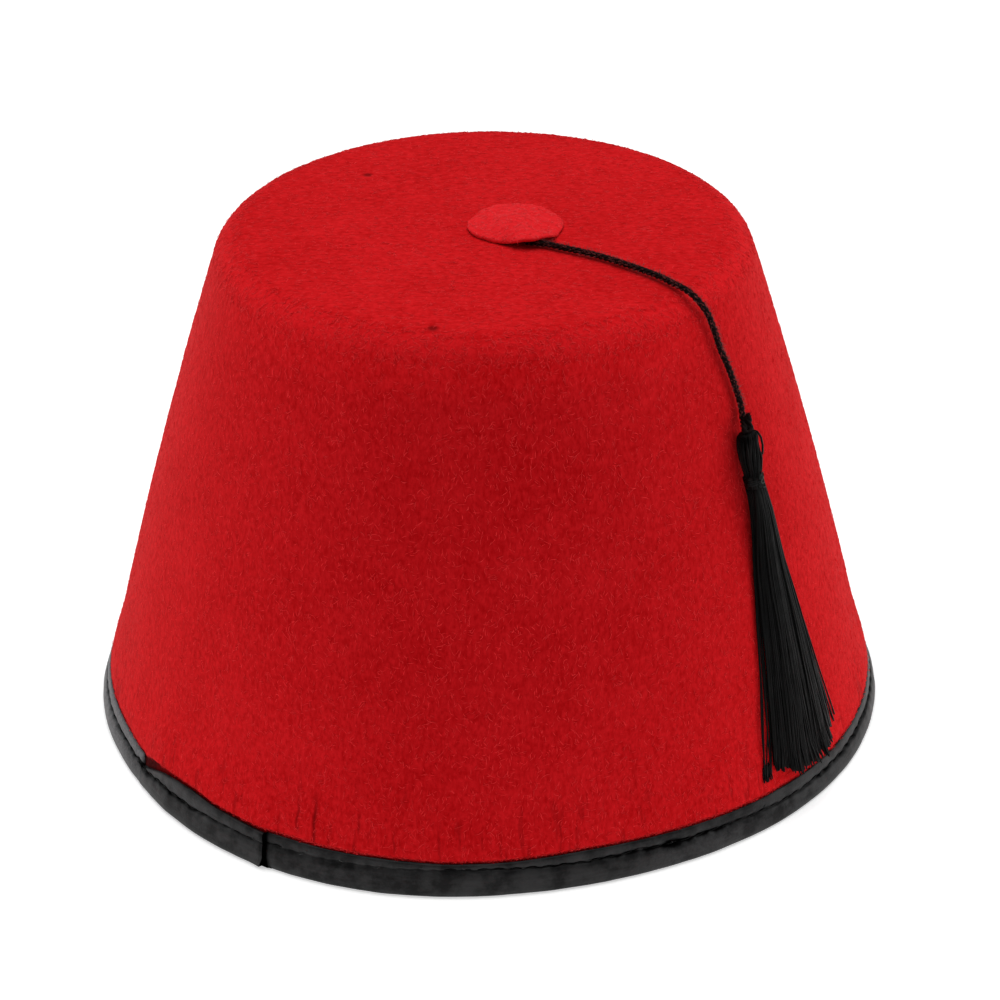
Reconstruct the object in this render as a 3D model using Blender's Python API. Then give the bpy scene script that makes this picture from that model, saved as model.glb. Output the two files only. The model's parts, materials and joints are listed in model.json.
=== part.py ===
"""Fez hat: a hollow tapered felt form with a stitched edge binding, a felt disc on the crown and a
cord that runs down to a tassel.

Metres, +Z up, -Y to the front. The hat rests on its rim at z = 0, and the origin is the middle of
the box round the hat itself, without its cord and tassel. A bearing is an angle seen from above,
counterclockwise from +X, in degrees in the tables and in radians in the functions.
"""
import math

import bmesh
import bpy
from mathutils import Vector

# Pieces that touch keep this gap
GAP = 0.0003

# Edges that turn by more than this many degrees are shaded as sharp
SHARP_ANGLE = 40

# Felt shell: mean outer radii at the rim and where the side would meet the flat crown
RIM_RADIUS = 0.095
CROWN_RADIUS = 0.0642
HAT_HEIGHT = 0.1363
CROWN_EDGE = 0.0061
SIDE_SWELL = 0.0017
FELT_WALL = 0.002
CROWN_OFFSET = -0.0011

# Each row pulls an outline out and in again, count times round, by a share of its mean radius
RIM_LOBES = [
    {"count": 2, "share": 0.091, "bearing": 8},
    {"count": 3, "share": 0.034, "bearing": 34},
    {"count": 4, "share": 0.015, "bearing": -32},
]
CROWN_LOBES = [
    {"count": 2, "share": 0.008, "bearing": 44},
]

# Faces round the hat, and rows of faces on its side, soft edge and crown
AROUND = 80
OUTSIDE_ROWS = {"side": 8, "edge": 5, "crown": 4}
INSIDE_ROWS = {"side": 5, "edge": 3, "crown": 2}

# Edge binding: tape folded round the felt's rim and stitched through
TAPE = 0.0008
BINDING_HEIGHT = 0.0103
BINDING_INSIDE_HEIGHT = 0.0090
BINDING_CORNER = 0.0010
STITCH_HEIGHT = 0.0064
STITCH_DEPTH = 0.0003
STITCH_HALF_WIDTH = 0.0009
PUFF = 0.0004

# The tape's end lies over its start. proud is a share of the tape, drop a share of the height
LAP_ROWS = [
    {"bearing": -155.0, "proud": 0.0, "drop": 0.00},
    {"bearing": -154.5, "proud": 0.2, "drop": 0.13},
    {"bearing": -146.0, "proud": 0.9, "drop": 0.09},
    {"bearing": -137.0, "proud": 1.0, "drop": 0.02},
    {"bearing": -126.6, "proud": 1.1, "drop": 0.00},
    {"bearing": -126.2, "proud": 0.0, "drop": 0.00},
]
# An even facet nearer than this to a row of the lap is left out, in degrees
LAP_CLEARANCE = 1.0

# Crown disc, cut by hand: its edge goes straight from row to row, and it drapes over the cord
DISC_RADIUS = 0.012
DISC_THICKNESS = 0.0012
DISC_PLACE = (0.0070, -0.0004)
DISC_DRAPE = 0.0042
DISC_ROWS = 6
DISC_AROUND = 36
DISC_EDGE = [
    {"bearing": -180, "share": 0.98},
    {"bearing": -155, "share": 0.98},
    {"bearing": -130, "share": 1.00},
    {"bearing": -105, "share": 1.03},
    {"bearing": -80, "share": 1.04},
    {"bearing": -60, "share": 1.08},
    {"bearing": -50, "share": 1.18},
    {"bearing": -40, "share": 1.10},
    {"bearing": -25, "share": 1.00},
    {"bearing": 20, "share": 1.04},
    {"bearing": 46, "share": 1.00},
    {"bearing": 56, "share": 1.07},
    {"bearing": 71, "share": 1.07},
    {"bearing": 111, "share": 1.03},
    {"bearing": 130, "share": 0.96},
    {"bearing": 160, "share": 0.94},
    {"bearing": 180, "share": 0.98},
]

# Cord: from the middle of the disc, out under its front edge, over the crown's edge, to the knot
CORD_DIAMETER = 0.0016
CORD_STEP = 0.0032
ROUTE_SAMPLES = 16
CORD_ROUTE = [
    (0.0068, -0.0012, 0.1374),
    (0.0066, -0.0042, 0.1374),
    (0.0074, -0.0078, 0.1374),
    (0.0102, -0.0107, 0.1374),
    (0.0147, -0.0122, 0.1374),
    (0.0187, -0.0144, 0.1374),
    (0.0228, -0.0165, 0.1374),
    (0.0268, -0.0190, 0.1374),
    (0.0315, -0.0225, 0.1374),
    (0.0363, -0.0266, 0.1374),
    (0.0407, -0.0310, 0.1375),
    (0.0430, -0.0339, 0.1375),
    (0.0448, -0.0361, 0.1375),
    (0.0464, -0.0376, 0.1372),
    (0.0480, -0.0386, 0.1363),
    (0.0494, -0.0391, 0.1349),
    (0.0506, -0.0393, 0.1333),
    (0.0517, -0.0392, 0.1314),
    (0.0534, -0.0390, 0.1267),
    (0.0548, -0.0387, 0.1224),
    (0.0569, -0.0383, 0.1173),
    (0.0585, -0.0381, 0.1127),
    (0.0598, -0.0382, 0.1087),
    (0.0604, -0.0386, 0.1060),
    (0.0606, -0.0391, 0.1043),
]

# Tassel: where its head's top hangs on the hat's side, and its head, neck and wound thread
TASSEL_BEARING = -35.4
TASSEL_TOP = 0.1014
HEAD_LENGTH = 0.0100
HEAD_RADIUS = 0.0030
NECK_LENGTH = 0.0030
NECK_RADIUS = 0.0019
NECK_ACROSS = -0.0010
WRAP_THREAD = 0.0004
TASSEL_AROUND = 16

# Head from its top to its neck, in shares of its length and radius
HEAD_ROWS = [
    {"down": 0.00, "radius": 0.35},
    {"down": 0.05, "radius": 0.72},
    {"down": 0.16, "radius": 0.94},
    {"down": 0.42, "radius": 1.00},
    {"down": 0.72, "radius": 0.93},
    {"down": 0.93, "radius": 0.76},
]

# Flare below the neck, which ends inside the locks, in shares of the neck's radius
FLARE_ROWS = [
    {"down": 0.0, "radius": 1.00},
    {"down": 0.4, "radius": 1.20},
    {"down": 1.4, "radius": 1.05},
    {"down": 2.4, "radius": 0.60},
]

# Skirt: locks that leave the neck side by side and spread over the hat's side. Its middle goes
# across by a power of how far along it is, so that it bows to the right
SKIRT_LENGTH = 0.0785
SKIRT_HALF_WIDTH = 0.0118
SKIRT_ACROSS = 0.0053
SKIRT_BOW = 0.6
LOCK_WIDTH = 0.0046
LOCK_THICKNESS = 0.0032
LOCK_LAYER = 0.0014
LOCK_AROUND = 8

# Where the locks leave the neck, in shares of its radius: how far below it and how far apart
LOCK_START = 0.3
LOCK_SPREAD = 0.7

# How far along a lock is when it lies on the side, and when it has its full layer
SETTLED_ALONG = 0.33
LAYERED_ALONG = 0.25

# Small steps round the hat, in radians, and up it that give the side's directions
SIDE_TURN = 0.001
SIDE_RISE = 0.0005

# end is where a lock ends, a share of the skirt's half width to the right of its middle. length,
# width and layer are shares of the skirt's length, the lock's width and the step between layers
LOCKS = [
    {"end": -1.24, "length": 0.965, "width": 0.42, "layer": 0.0},
    {"end": -0.82, "length": 0.965, "width": 0.80, "layer": 0.0},
    {"end": -0.62, "length": 0.980, "width": 0.95, "layer": 0.0},
    {"end": -0.36, "length": 0.972, "width": 1.00, "layer": 0.2},
    {"end": -0.10, "length": 0.990, "width": 1.00, "layer": 0.3},
    {"end": 0.16, "length": 0.996, "width": 1.00, "layer": 0.3},
    {"end": 0.42, "length": 0.990, "width": 1.00, "layer": 0.2},
    {"end": 0.66, "length": 0.995, "width": 0.90, "layer": 0.0},
    {"end": 0.86, "length": 0.965, "width": 0.72, "layer": 0.0},
    {"end": -0.22, "length": 0.930, "width": 0.95, "layer": 1.0},
    {"end": 0.10, "length": 0.950, "width": 1.00, "layer": 1.0},
    {"end": 0.38, "length": 0.925, "width": 0.90, "layer": 1.0},
]

# A lock's own form from neck to tip: how far along, and shares of its width and thickness
LOCK_ROWS = [
    {"along": 0.00, "width": 0.44, "thickness": 1.02},
    {"along": 0.06, "width": 0.50, "thickness": 1.16},
    {"along": 0.18, "width": 0.62, "thickness": 1.16},
    {"along": 0.36, "width": 0.78, "thickness": 1.10},
    {"along": 0.56, "width": 0.92, "thickness": 1.00},
    {"along": 0.76, "width": 1.00, "thickness": 0.86},
    {"along": 0.92, "width": 0.96, "thickness": 0.70},
    {"along": 1.00, "width": 0.78, "thickness": 0.52},
]

# Knot on the head's top, with its tail beside the cord. across, down and lift are shares of the
# knot's radius from the middle of the head's top
KNOT_RADIUS = 0.0013
KNOT_AROUND = 10
KNOT_ROWS = [
    {"across": 0.30, "down": -0.28, "lift": 2.35, "radius": 0.55},
    {"across": 0.30, "down": -0.60, "lift": 2.35, "radius": 0.92},
    {"across": 0.32, "down": -1.05, "lift": 2.35, "radius": 1.00},
    {"across": 0.42, "down": -1.50, "lift": 2.48, "radius": 0.88},
    {"across": 0.55, "down": -1.95, "lift": 2.66, "radius": 0.62},
    {"across": 0.68, "down": -2.60, "lift": 2.78, "radius": 0.66},
    {"across": 0.85, "down": -3.40, "lift": 2.80, "radius": 0.60},
]

# Linear colour, roughness
FINISHES = {
    "red_felt": ((0.42, 0.006, 0.010), 0.95),
    "disc_felt": ((0.55, 0.020, 0.030), 0.95),
    "black_tape": ((0.012, 0.012, 0.013), 0.38),
    "black_thread": ((0.006, 0.006, 0.007), 0.55),
}


def clear_scene():
    for old in list(bpy.data.objects):
        bpy.data.objects.remove(old, do_unlink=True)


def material(name):
    """Principled material of that name, made once."""
    found = bpy.data.materials.get(name)
    if found:
        return found
    colour, roughness = FINISHES[name]
    new = bpy.data.materials.new(name)
    new.use_nodes = True
    shader = new.node_tree.nodes["Principled BSDF"]
    shader.inputs["Base Color"].default_value = (*colour, 1.0)
    shader.inputs["Roughness"].default_value = roughness
    new.diffuse_color = (*colour, 1.0)
    return new


def add_object(name, data, finish):
    new = bpy.data.objects.new(name, data)
    new.data.materials.append(material(finish))
    bpy.context.scene.collection.objects.link(new)
    return new


def table_value(rows, key, position, column):
    """Value of a column at a position between rows, straight from row to row."""
    if position <= rows[0][key] or position >= rows[-1][key]:
        return rows[0][column] if position <= rows[0][key] else rows[-1][column]
    for low, high in zip(rows, rows[1:]):
        if position <= high[key]:
            share = (position - low[key]) / (high[key] - low[key])
            return low[column] + share * (high[column] - low[column])


def skin(name, rings, finish, joined=False, pointed=False):
    """Closed object whose surface runs through rings of points.

    A joined one ties its last ring to its first. Otherwise a face closes each end, and a pointed
    one gets a point in the middle of it.
    """
    work = bmesh.new()
    rows = [[work.verts.new(point) for point in ring] for ring in rings]
    if joined:
        rows.append(rows[0])
    for low, high in zip(rows, rows[1:]):
        for i in range(len(low)):
            j = (i + 1) % len(low)
            work.faces.new((low[i], low[j], high[j], high[i]))
    if not joined:
        ends = [work.faces.new(rows[0]), work.faces.new(rows[-1])]
        if pointed:
            bmesh.ops.poke(work, faces=ends)
    bmesh.ops.recalc_face_normals(work, faces=work.faces)
    mesh = bpy.data.meshes.new(name)
    work.to_mesh(mesh)
    work.free()
    mesh.shade_smooth()
    mesh.set_sharp_from_angle(angle=math.radians(SHARP_ANGLE))
    return add_object(name, mesh, finish)


# Hat form


def lobed(mean, lobes, bearing):
    """Radius of an outline at this bearing."""
    pull = sum(
        row["share"] * math.cos(row["count"] * (bearing - math.radians(row["bearing"])))
        for row in lobes
    )
    return mean * (1 + pull)


def side_radius(bearing, height):
    """Outer radius of the felt's side, straight on up to the level of the crown."""
    share = height / HAT_HEIGHT
    rim = lobed(RIM_RADIUS, RIM_LOBES, bearing)
    crown = lobed(CROWN_RADIUS, CROWN_LOBES, bearing)
    return rim * (1 - share) + crown * share + SIDE_SWELL * 4 * share * (1 - share)


def plan_point(bearing, height, radius):
    """Point at this radius round the hat's own axis, which leans with the crown's offset."""
    x = radius * math.cos(bearing) + CROWN_OFFSET * height / HAT_HEIGHT
    return Vector((x, radius * math.sin(bearing), height))


def even_bearings(count):
    return [2 * math.pi * i / count - math.pi for i in range(count)]


def rim_middle():
    """Middle of the box round the binding, which is the widest part of the hat."""
    level = (BINDING_CORNER + STITCH_HEIGHT) / 2
    reach = GAP + TAPE + PUFF
    ring = [plan_point(b, level, side_radius(b, level) + reach) for b in even_bearings(AROUND)]
    xs = [point.x for point in ring]
    ys = [point.y for point in ring]
    return Vector(((min(xs) + max(xs)) / 2, (min(ys) + max(ys)) / 2, 0))


MIDDLE = rim_middle()


def side_point(bearing, height, outward):
    """Point on the side at this height, outward of the felt's outer face, measured level."""
    return plan_point(bearing, height, side_radius(bearing, height) + outward) - MIDDLE


# Felt shell


def shell_rings(inset, bottom, rows):
    """Rings of one face of the felt, from its bottom up to near the middle of the crown.

    inset is how far this face lies inside the outer one.
    """
    edge = max(CROWN_EDGE - inset, GAP)
    top = HAT_HEIGHT - inset
    bearings = even_bearings(AROUND)
    rings = []
    for i in range(rows["side"]):
        height = bottom + (top - edge - bottom) * i / rows["side"]
        rings.append([side_point(b, height, -inset) for b in bearings])
    for i in range(rows["edge"] + 1):
        turn = math.pi / 2 * i / rows["edge"]
        height = top - edge + edge * math.sin(turn)
        pulled = inset + edge * (1 - math.cos(turn))
        rings.append([side_point(b, height, -pulled) for b in bearings])
    middle = sum(rings[-1], Vector()) / AROUND
    flat = rings[-1]
    for i in range(1, rows["crown"]):
        share = 1 - i / rows["crown"]
        rings.append([middle + (point - middle) * share for point in flat])
    return rings


def make_felt_shell():
    bottom = TAPE + GAP
    outside = shell_rings(0.0, bottom, OUTSIDE_ROWS)
    inside = shell_rings(FELT_WALL, bottom, INSIDE_ROWS)
    skin("felt_shell", outside[::-1] + inside, "red_felt", pointed=True)


# Edge binding


def binding_bearings():
    """Even bearings, with the lap's own bearings in place of those that lie close to them."""
    lap = [math.radians(row["bearing"]) for row in LAP_ROWS]
    clearance = math.radians(LAP_CLEARANCE)
    even = [b for b in even_bearings(AROUND) if all(abs(b - own) > clearance for own in lap)]
    return sorted(even + lap)


def binding_section(bearing):
    """Outward distance and height of the tape's outline at this bearing, once round it."""
    degrees = math.degrees(bearing)
    proud = table_value(LAP_ROWS, "bearing", degrees, "proud") * TAPE
    drop = table_value(LAP_ROWS, "bearing", degrees, "drop") * BINDING_HEIGHT
    top = BINDING_HEIGHT - drop
    stitch = STITCH_HEIGHT - drop / 2
    face = GAP + TAPE + proud
    inner_face = -(FELT_WALL + GAP)
    inner_back = inner_face - TAPE
    return [
        (face + PUFF - BINDING_CORNER, 0.0),
        (face + PUFF / 2, BINDING_CORNER),
        (face + PUFF, (BINDING_CORNER + STITCH_HEIGHT) / 2),
        (face + PUFF / 2, stitch - STITCH_HALF_WIDTH),
        (face - STITCH_DEPTH, stitch),
        (face, stitch + STITCH_HALF_WIDTH),
        (face, top - TAPE / 2),
        (face - TAPE / 2, top),
        (GAP, top),
        (GAP, TAPE),
        (inner_face, TAPE),
        (inner_face, BINDING_INSIDE_HEIGHT),
        (inner_back, BINDING_INSIDE_HEIGHT),
        (inner_back, BINDING_CORNER),
        (inner_back + BINDING_CORNER, 0.0),
    ]


def make_edge_binding():
    bearings = binding_bearings()
    sections = [binding_section(b) for b in bearings]
    rings = []
    for k in range(len(sections[0])):
        rings.append([
            side_point(b, section[k][1], section[k][0]) for b, section in zip(bearings, sections)
        ])
    skin("edge_binding", rings, "black_tape", joined=True)


# Cord


def smooth_route(points, step):
    """Points at even steps along the smooth curve that goes through the given ones."""
    ends = [2 * points[0] - points[1], *points, 2 * points[-1] - points[-2]]
    fine = []
    for before, start, end, after in zip(ends, ends[1:], ends[2:], ends[3:]):
        for i in range(ROUTE_SAMPLES):
            t = i / ROUTE_SAMPLES
            fine.append(
                0.5 * (2 * start + (end - before) * t
                       + (2 * before - 5 * start + 4 * end - after) * t ** 2
                       + (3 * start - before - 3 * end + after) * t ** 3)
            )
    fine.append(points[-1])
    lengths = [0.0]
    for low, high in zip(fine, fine[1:]):
        lengths.append(lengths[-1] + (high - low).length)
    count = max(2, round(lengths[-1] / step))
    even = []
    place = 0
    for i in range(count + 1):
        wanted = lengths[-1] * i / count
        while place < len(fine) - 2 and lengths[place + 1] < wanted:
            place += 1
        share = (wanted - lengths[place]) / (lengths[place + 1] - lengths[place])
        even.append(fine[place].lerp(fine[place + 1], min(share, 1.0)))
    return even


def make_tassel_cord():
    route = smooth_route([Vector(point) for point in CORD_ROUTE], CORD_STEP)
    curve = bpy.data.curves.new("tassel_cord", "CURVE")
    curve.dimensions = "3D"
    curve.bevel_depth = CORD_DIAMETER / 2
    curve.bevel_resolution = 2
    curve.use_fill_caps = True
    spline = curve.splines.new("POLY")
    spline.points.add(len(route) - 1)
    for spot, point in zip(spline.points, route):
        spot.co = (*point, 1.0)
    add_object("tassel_cord", curve, "black_thread")


# Crown disc


def cord_distance(x, y):
    """Distance in plan from the cord's route."""
    spot = Vector((x, y))
    route = [Vector(point[:2]) for point in CORD_ROUTE]
    nearest = math.inf
    for start, end in zip(route, route[1:]):
        run = end - start
        share = min(max((spot - start).dot(run) / run.length_squared, 0.0), 1.0)
        nearest = min(nearest, (spot - start - run * share).length)
    return nearest


def disc_lift(x, y):
    """How far the disc rises over the cord that runs under it."""
    clear = CORD_DIAMETER / 2 + DISC_RADIUS / DISC_ROWS / 2 + GAP
    share = min(max(1 - (cord_distance(x, y) - clear) / DISC_DRAPE, 0.0), 1.0)
    return (CORD_DIAMETER + GAP) * share * share * (3 - 2 * share)


def disc_rings(thickness):
    rings = []
    for i in range(DISC_ROWS, 0, -1):
        ring = []
        for bearing in even_bearings(DISC_AROUND):
            share = table_value(DISC_EDGE, "bearing", math.degrees(bearing), "share")
            radius = DISC_RADIUS * share * i / DISC_ROWS
            x = DISC_PLACE[0] + radius * math.cos(bearing)
            y = DISC_PLACE[1] + radius * math.sin(bearing)
            ring.append(Vector((x, y, HAT_HEIGHT + GAP + disc_lift(x, y) + thickness)))
        rings.append(ring)
    return rings


def make_crown_disc():
    under = disc_rings(0.0)
    over = disc_rings(DISC_THICKNESS)
    skin("crown_disc", under[::-1] + over, "disc_felt", pointed=True)


# Tassel


def side_directions(bearing, height):
    """Unit directions on the hat's side: to the right, down it, and out of it."""
    right = side_point(bearing + SIDE_TURN, height, 0) - side_point(bearing - SIDE_TURN, height, 0)
    down = side_point(bearing, height - SIDE_RISE, 0) - side_point(bearing, height + SIDE_RISE, 0)
    right.normalize()
    down.normalize()
    out = down.cross(right)
    out.normalize()
    return right, down, out


def tassel_place(across, down, lift):
    """Point of the tassel and its directions, from the felt under the middle of the head's top.

    across is to the right along the side, down is along the slope and lift is off the felt.
    """
    slope = math.atan((RIM_RADIUS - CROWN_RADIUS) / HAT_HEIGHT)
    height = TASSEL_TOP - down * math.cos(slope)
    bearing = math.radians(TASSEL_BEARING)
    bearing += across / side_radius(bearing, height)
    right, fall, out = side_directions(bearing, height)
    return side_point(bearing, height, 0) + out * lift, right, out


def tassel_ring(across, down, lift, half_width, half_thickness, count):
    """Oval ring of points round the tassel's run at this place."""
    centre, right, out = tassel_place(across, down, lift)
    turns = [2 * math.pi * i / count for i in range(count)]
    return [
        centre + right * (half_width * math.cos(a)) + out * (half_thickness * math.sin(a))
        for a in turns
    ]


def head_ring(down, radius):
    """Ring round the head or neck, whose axis leans across as it goes down."""
    across = NECK_ACROSS * down / (HEAD_LENGTH + NECK_LENGTH)
    return tassel_ring(across, down, HEAD_RADIUS + GAP, radius, radius, TASSEL_AROUND)


def head_rings():
    rings = [head_ring(r["down"] * HEAD_LENGTH, r["radius"] * HEAD_RADIUS) for r in HEAD_ROWS]
    end = HEAD_LENGTH + NECK_LENGTH
    rings.append(head_ring(HEAD_LENGTH, NECK_RADIUS))
    for row in FLARE_ROWS:
        rings.append(head_ring(end + row["down"] * NECK_RADIUS, row["radius"] * NECK_RADIUS))
    return rings


def lock_rings(lock):
    """Rings of one lock, from inside the flare under the neck to its tip on the hat's side."""
    start = HEAD_LENGTH + NECK_LENGTH + NECK_RADIUS * LOCK_START
    length = SKIRT_LENGTH * lock["length"]
    narrow = NECK_RADIUS * LOCK_SPREAD
    rings = []
    for row in LOCK_ROWS:
        half_width = row["width"] * lock["width"] * LOCK_WIDTH / 2
        half_thickness = row["thickness"] * LOCK_THICKNESS / 2
        layered = min(1, row["along"] / LAYERED_ALONG)
        settled = min(1, row["along"] / SETTLED_ALONG)
        lying = GAP + half_thickness + lock["layer"] * LOCK_LAYER * layered
        lift = HEAD_RADIUS + GAP + settled * (lying - HEAD_RADIUS - GAP)
        middle = NECK_ACROSS + (SKIRT_ACROSS - NECK_ACROSS) * row["along"] ** SKIRT_BOW
        across = middle + lock["end"] * (narrow + (SKIRT_HALF_WIDTH - narrow) * row["along"])
        down = start + length * row["along"]
        rings.append(tassel_ring(across, down, lift, half_width, half_thickness, LOCK_AROUND))
    return rings


def make_tassel():
    """Head and locks, joined into one body."""
    head = skin("tassel", head_rings(), "black_thread")
    locks = bpy.data.collections.new("locks")
    bpy.context.scene.collection.children.link(locks)
    for number, lock in enumerate(LOCKS, start=1):
        piece = skin(f"lock_{number}", lock_rings(lock), "black_thread")
        bpy.context.scene.collection.objects.unlink(piece)
        locks.objects.link(piece)
        piece.hide_render = True
        piece.display_type = "WIRE"
    join = head.modifiers.new("join_locks", "BOOLEAN")
    join.operation = "UNION"
    join.solver = "EXACT"
    join.operand_type = "COLLECTION"
    join.collection = locks


def make_tassel_wrap():
    """Turns of thread round the neck, as one closed ring."""
    inner = NECK_RADIUS + GAP
    outer = inner + WRAP_THREAD
    top = HEAD_LENGTH + GAP
    bottom = HEAD_LENGTH + NECK_LENGTH - GAP
    outline = [
        (top, inner),
        (top, inner + WRAP_THREAD / 2),
        (top + WRAP_THREAD, outer),
        (bottom - WRAP_THREAD, outer),
        (bottom, inner + WRAP_THREAD / 2),
        (bottom, inner),
    ]
    rings = [head_ring(down, radius) for down, radius in outline]
    skin("tassel_wrap", rings, "black_thread", joined=True)


def make_cord_knot():
    rings = []
    for row in KNOT_ROWS:
        radius = row["radius"] * KNOT_RADIUS
        rings.append(tassel_ring(
            row["across"] * KNOT_RADIUS, row["down"] * KNOT_RADIUS, row["lift"] * KNOT_RADIUS,
            radius, radius, KNOT_AROUND,
        ))
    skin("cord_knot", rings, "black_thread")


def main():
    clear_scene()
    make_felt_shell()
    make_edge_binding()
    make_crown_disc()
    make_tassel_cord()
    make_tassel()
    make_tassel_wrap()
    make_cord_knot()


main()
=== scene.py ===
"""Looks of a fez hat: red felt with its nap, stitched black edge binding, a felt disc on the crown,
and a twisted cord that ends in a tassel.

Metres, +Z up, -Y to the front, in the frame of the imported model. A bearing is an angle seen from
above, counterclockwise from +X.
"""
import json
import math

import bpy
import numpy as np
from mathutils import Matrix, Vector
from mathutils.bvhtree import BVHTree

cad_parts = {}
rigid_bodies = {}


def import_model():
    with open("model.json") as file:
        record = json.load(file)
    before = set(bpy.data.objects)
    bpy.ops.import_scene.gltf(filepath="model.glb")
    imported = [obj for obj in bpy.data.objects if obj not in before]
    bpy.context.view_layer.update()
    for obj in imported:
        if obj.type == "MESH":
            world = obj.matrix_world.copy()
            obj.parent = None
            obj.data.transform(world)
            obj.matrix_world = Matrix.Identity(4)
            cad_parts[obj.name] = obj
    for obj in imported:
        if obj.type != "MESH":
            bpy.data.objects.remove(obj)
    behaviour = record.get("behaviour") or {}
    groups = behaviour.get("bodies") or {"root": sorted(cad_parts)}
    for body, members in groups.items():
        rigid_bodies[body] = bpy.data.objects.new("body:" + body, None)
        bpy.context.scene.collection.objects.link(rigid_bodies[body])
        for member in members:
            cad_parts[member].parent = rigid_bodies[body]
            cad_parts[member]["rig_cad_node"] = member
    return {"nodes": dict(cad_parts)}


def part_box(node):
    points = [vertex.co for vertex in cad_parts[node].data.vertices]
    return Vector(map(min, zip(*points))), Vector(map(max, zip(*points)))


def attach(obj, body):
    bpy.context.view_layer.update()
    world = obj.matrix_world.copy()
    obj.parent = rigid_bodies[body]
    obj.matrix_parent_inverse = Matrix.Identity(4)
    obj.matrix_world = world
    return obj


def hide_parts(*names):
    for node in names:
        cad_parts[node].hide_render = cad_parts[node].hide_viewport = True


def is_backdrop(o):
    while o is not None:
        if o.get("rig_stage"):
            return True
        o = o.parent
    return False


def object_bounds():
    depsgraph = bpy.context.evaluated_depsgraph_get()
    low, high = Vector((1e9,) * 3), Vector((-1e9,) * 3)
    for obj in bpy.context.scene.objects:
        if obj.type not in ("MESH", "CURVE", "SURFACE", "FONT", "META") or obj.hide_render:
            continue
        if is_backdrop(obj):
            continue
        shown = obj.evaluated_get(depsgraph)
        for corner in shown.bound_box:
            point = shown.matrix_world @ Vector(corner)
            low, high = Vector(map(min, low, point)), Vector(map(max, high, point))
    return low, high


bl_info = {
    "name": "Fez hat looks",
    "version": (1, 0, 0),
    "blender": (4, 5, 0),
    "location": "3D View > Sidebar > Fez",
    "description": "Dresses the packed fez hat in felt, tape, cord and tassel threads",
    "category": "Object",
}

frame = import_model()
CAD_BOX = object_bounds()

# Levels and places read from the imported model
HAT_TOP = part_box("felt_shell")[1].z
BINDING_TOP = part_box("edge_binding")[1].z
DISC_LOW, DISC_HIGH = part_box("crown_disc")

# Inside the hat: a point that every outer face turns away from
HAT_HEART = Vector((0.0, 0.0, HAT_TOP / 2))

# Axis that the bearings turn about: its place at the rim, and how far it leans by the crown
HAT_AXIS = (0.0007, 0.0022)
AXIS_LEAN = -0.0011
CLEARANCE = 0.0003

# Distance from the axis, outside the hat, where rays at its surface start
RAY_START = 0.2

# Camera of the photograph: place, degrees below level, roll and lens
CAMERA_PLACE = (0.00309, -0.62404, 0.41610)
CAMERA_FALL = 29.704
CAMERA_ROLL = -0.259
CAMERA_LENS = 100.8
CAMERA_SENSOR = 36.0


# Shared tools


def table(names, *rows):
    """Columns of numbers by name, from rows in the order of their first column."""
    return dict(zip(names.split(), np.array(rows, float).T))


def look_up(columns, name, position):
    """Value of a column at a position in the first one, straight from row to row."""
    return np.interp(position, next(iter(columns.values())), columns[name])


def colour_setting(name, description, default):
    return bpy.props.FloatVectorProperty(
        name=name, description=description, subtype="COLOR", default=default, min=0, max=1)


def length_setting(name, description, default):
    return bpy.props.FloatProperty(name=name, description=description, default=default, unit="LENGTH")


def strength_setting(name, description, default):
    return bpy.props.FloatProperty(name=name, description=description, default=default)


def count_setting(name, description, default):
    return bpy.props.IntProperty(name=name, description=description, default=default)


def pick(piece):
    """Makes this the only selected and active object."""
    active = bpy.context.view_layer.objects.active
    if active and active.mode != "OBJECT":
        bpy.ops.object.mode_set(mode="OBJECT")
    bpy.ops.object.select_all(action="DESELECT")
    piece.select_set(True)
    bpy.context.view_layer.objects.active = piece


def cad_copy(node, name):
    """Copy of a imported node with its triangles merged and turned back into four-sided faces."""
    pick(frame["nodes"][node])
    bpy.ops.object.duplicate()
    piece = bpy.context.object
    piece.name = name
    piece.data.name = name
    del piece["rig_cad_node"]
    bpy.ops.object.mode_set(mode="EDIT")
    bpy.ops.mesh.select_all(action="SELECT")
    bpy.ops.mesh.customdata_custom_splitnormals_clear()
    bpy.ops.mesh.remove_doubles(threshold=0.00001)
    bpy.ops.mesh.tris_convert_to_quads(face_threshold=math.radians(60), shape_threshold=math.radians(80))
    bpy.ops.object.mode_set(mode="OBJECT")
    piece.data.materials.clear()
    return piece


def apply_modifier(piece, name, kind, **settings):
    """Adds a modifier with these settings and applies it."""
    pick(piece)
    modifier = piece.modifiers.new(name, kind)
    for key, value in settings.items():
        setattr(modifier, key, value)
    bpy.ops.object.modifier_apply(modifier=name)


def smooth_faces(piece, levels):
    apply_modifier(piece, "smooth_faces", "SUBSURF", levels=levels, render_levels=levels)
    pick(piece)
    bpy.ops.object.shade_smooth()


def add_lumps(piece, name, size, depth):
    """Soft lumps of this size pressed in and out of a piece."""
    lumps = bpy.data.textures.new(name, "CLOUDS")
    lumps.noise_scale = size
    lumps.noise_depth = 2
    apply_modifier(piece, name, "DISPLACE", texture=lumps, texture_coords="LOCAL", strength=depth)


def get_points(piece, field="co"):
    """Places of a piece's points, or their normals."""
    values = np.empty(len(piece.data.vertices) * 3, np.float32)
    piece.data.vertices.foreach_get(field, values)
    return values.reshape(-1, 3).astype(float)


def set_points(piece, points):
    piece.data.vertices.foreach_set("co", points.astype(np.float32).ravel())
    piece.data.update()


def press_in(piece, depths):
    """Moves each point of a piece in along its normal."""
    set_points(piece, get_points(piece) - get_points(piece, "normal") * depths[:, None])


def axis_point(level):
    """Point on the hat's axis at a level."""
    return Vector((HAT_AXIS[0] + AXIS_LEAN * level / HAT_TOP, HAT_AXIS[1], level))


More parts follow.
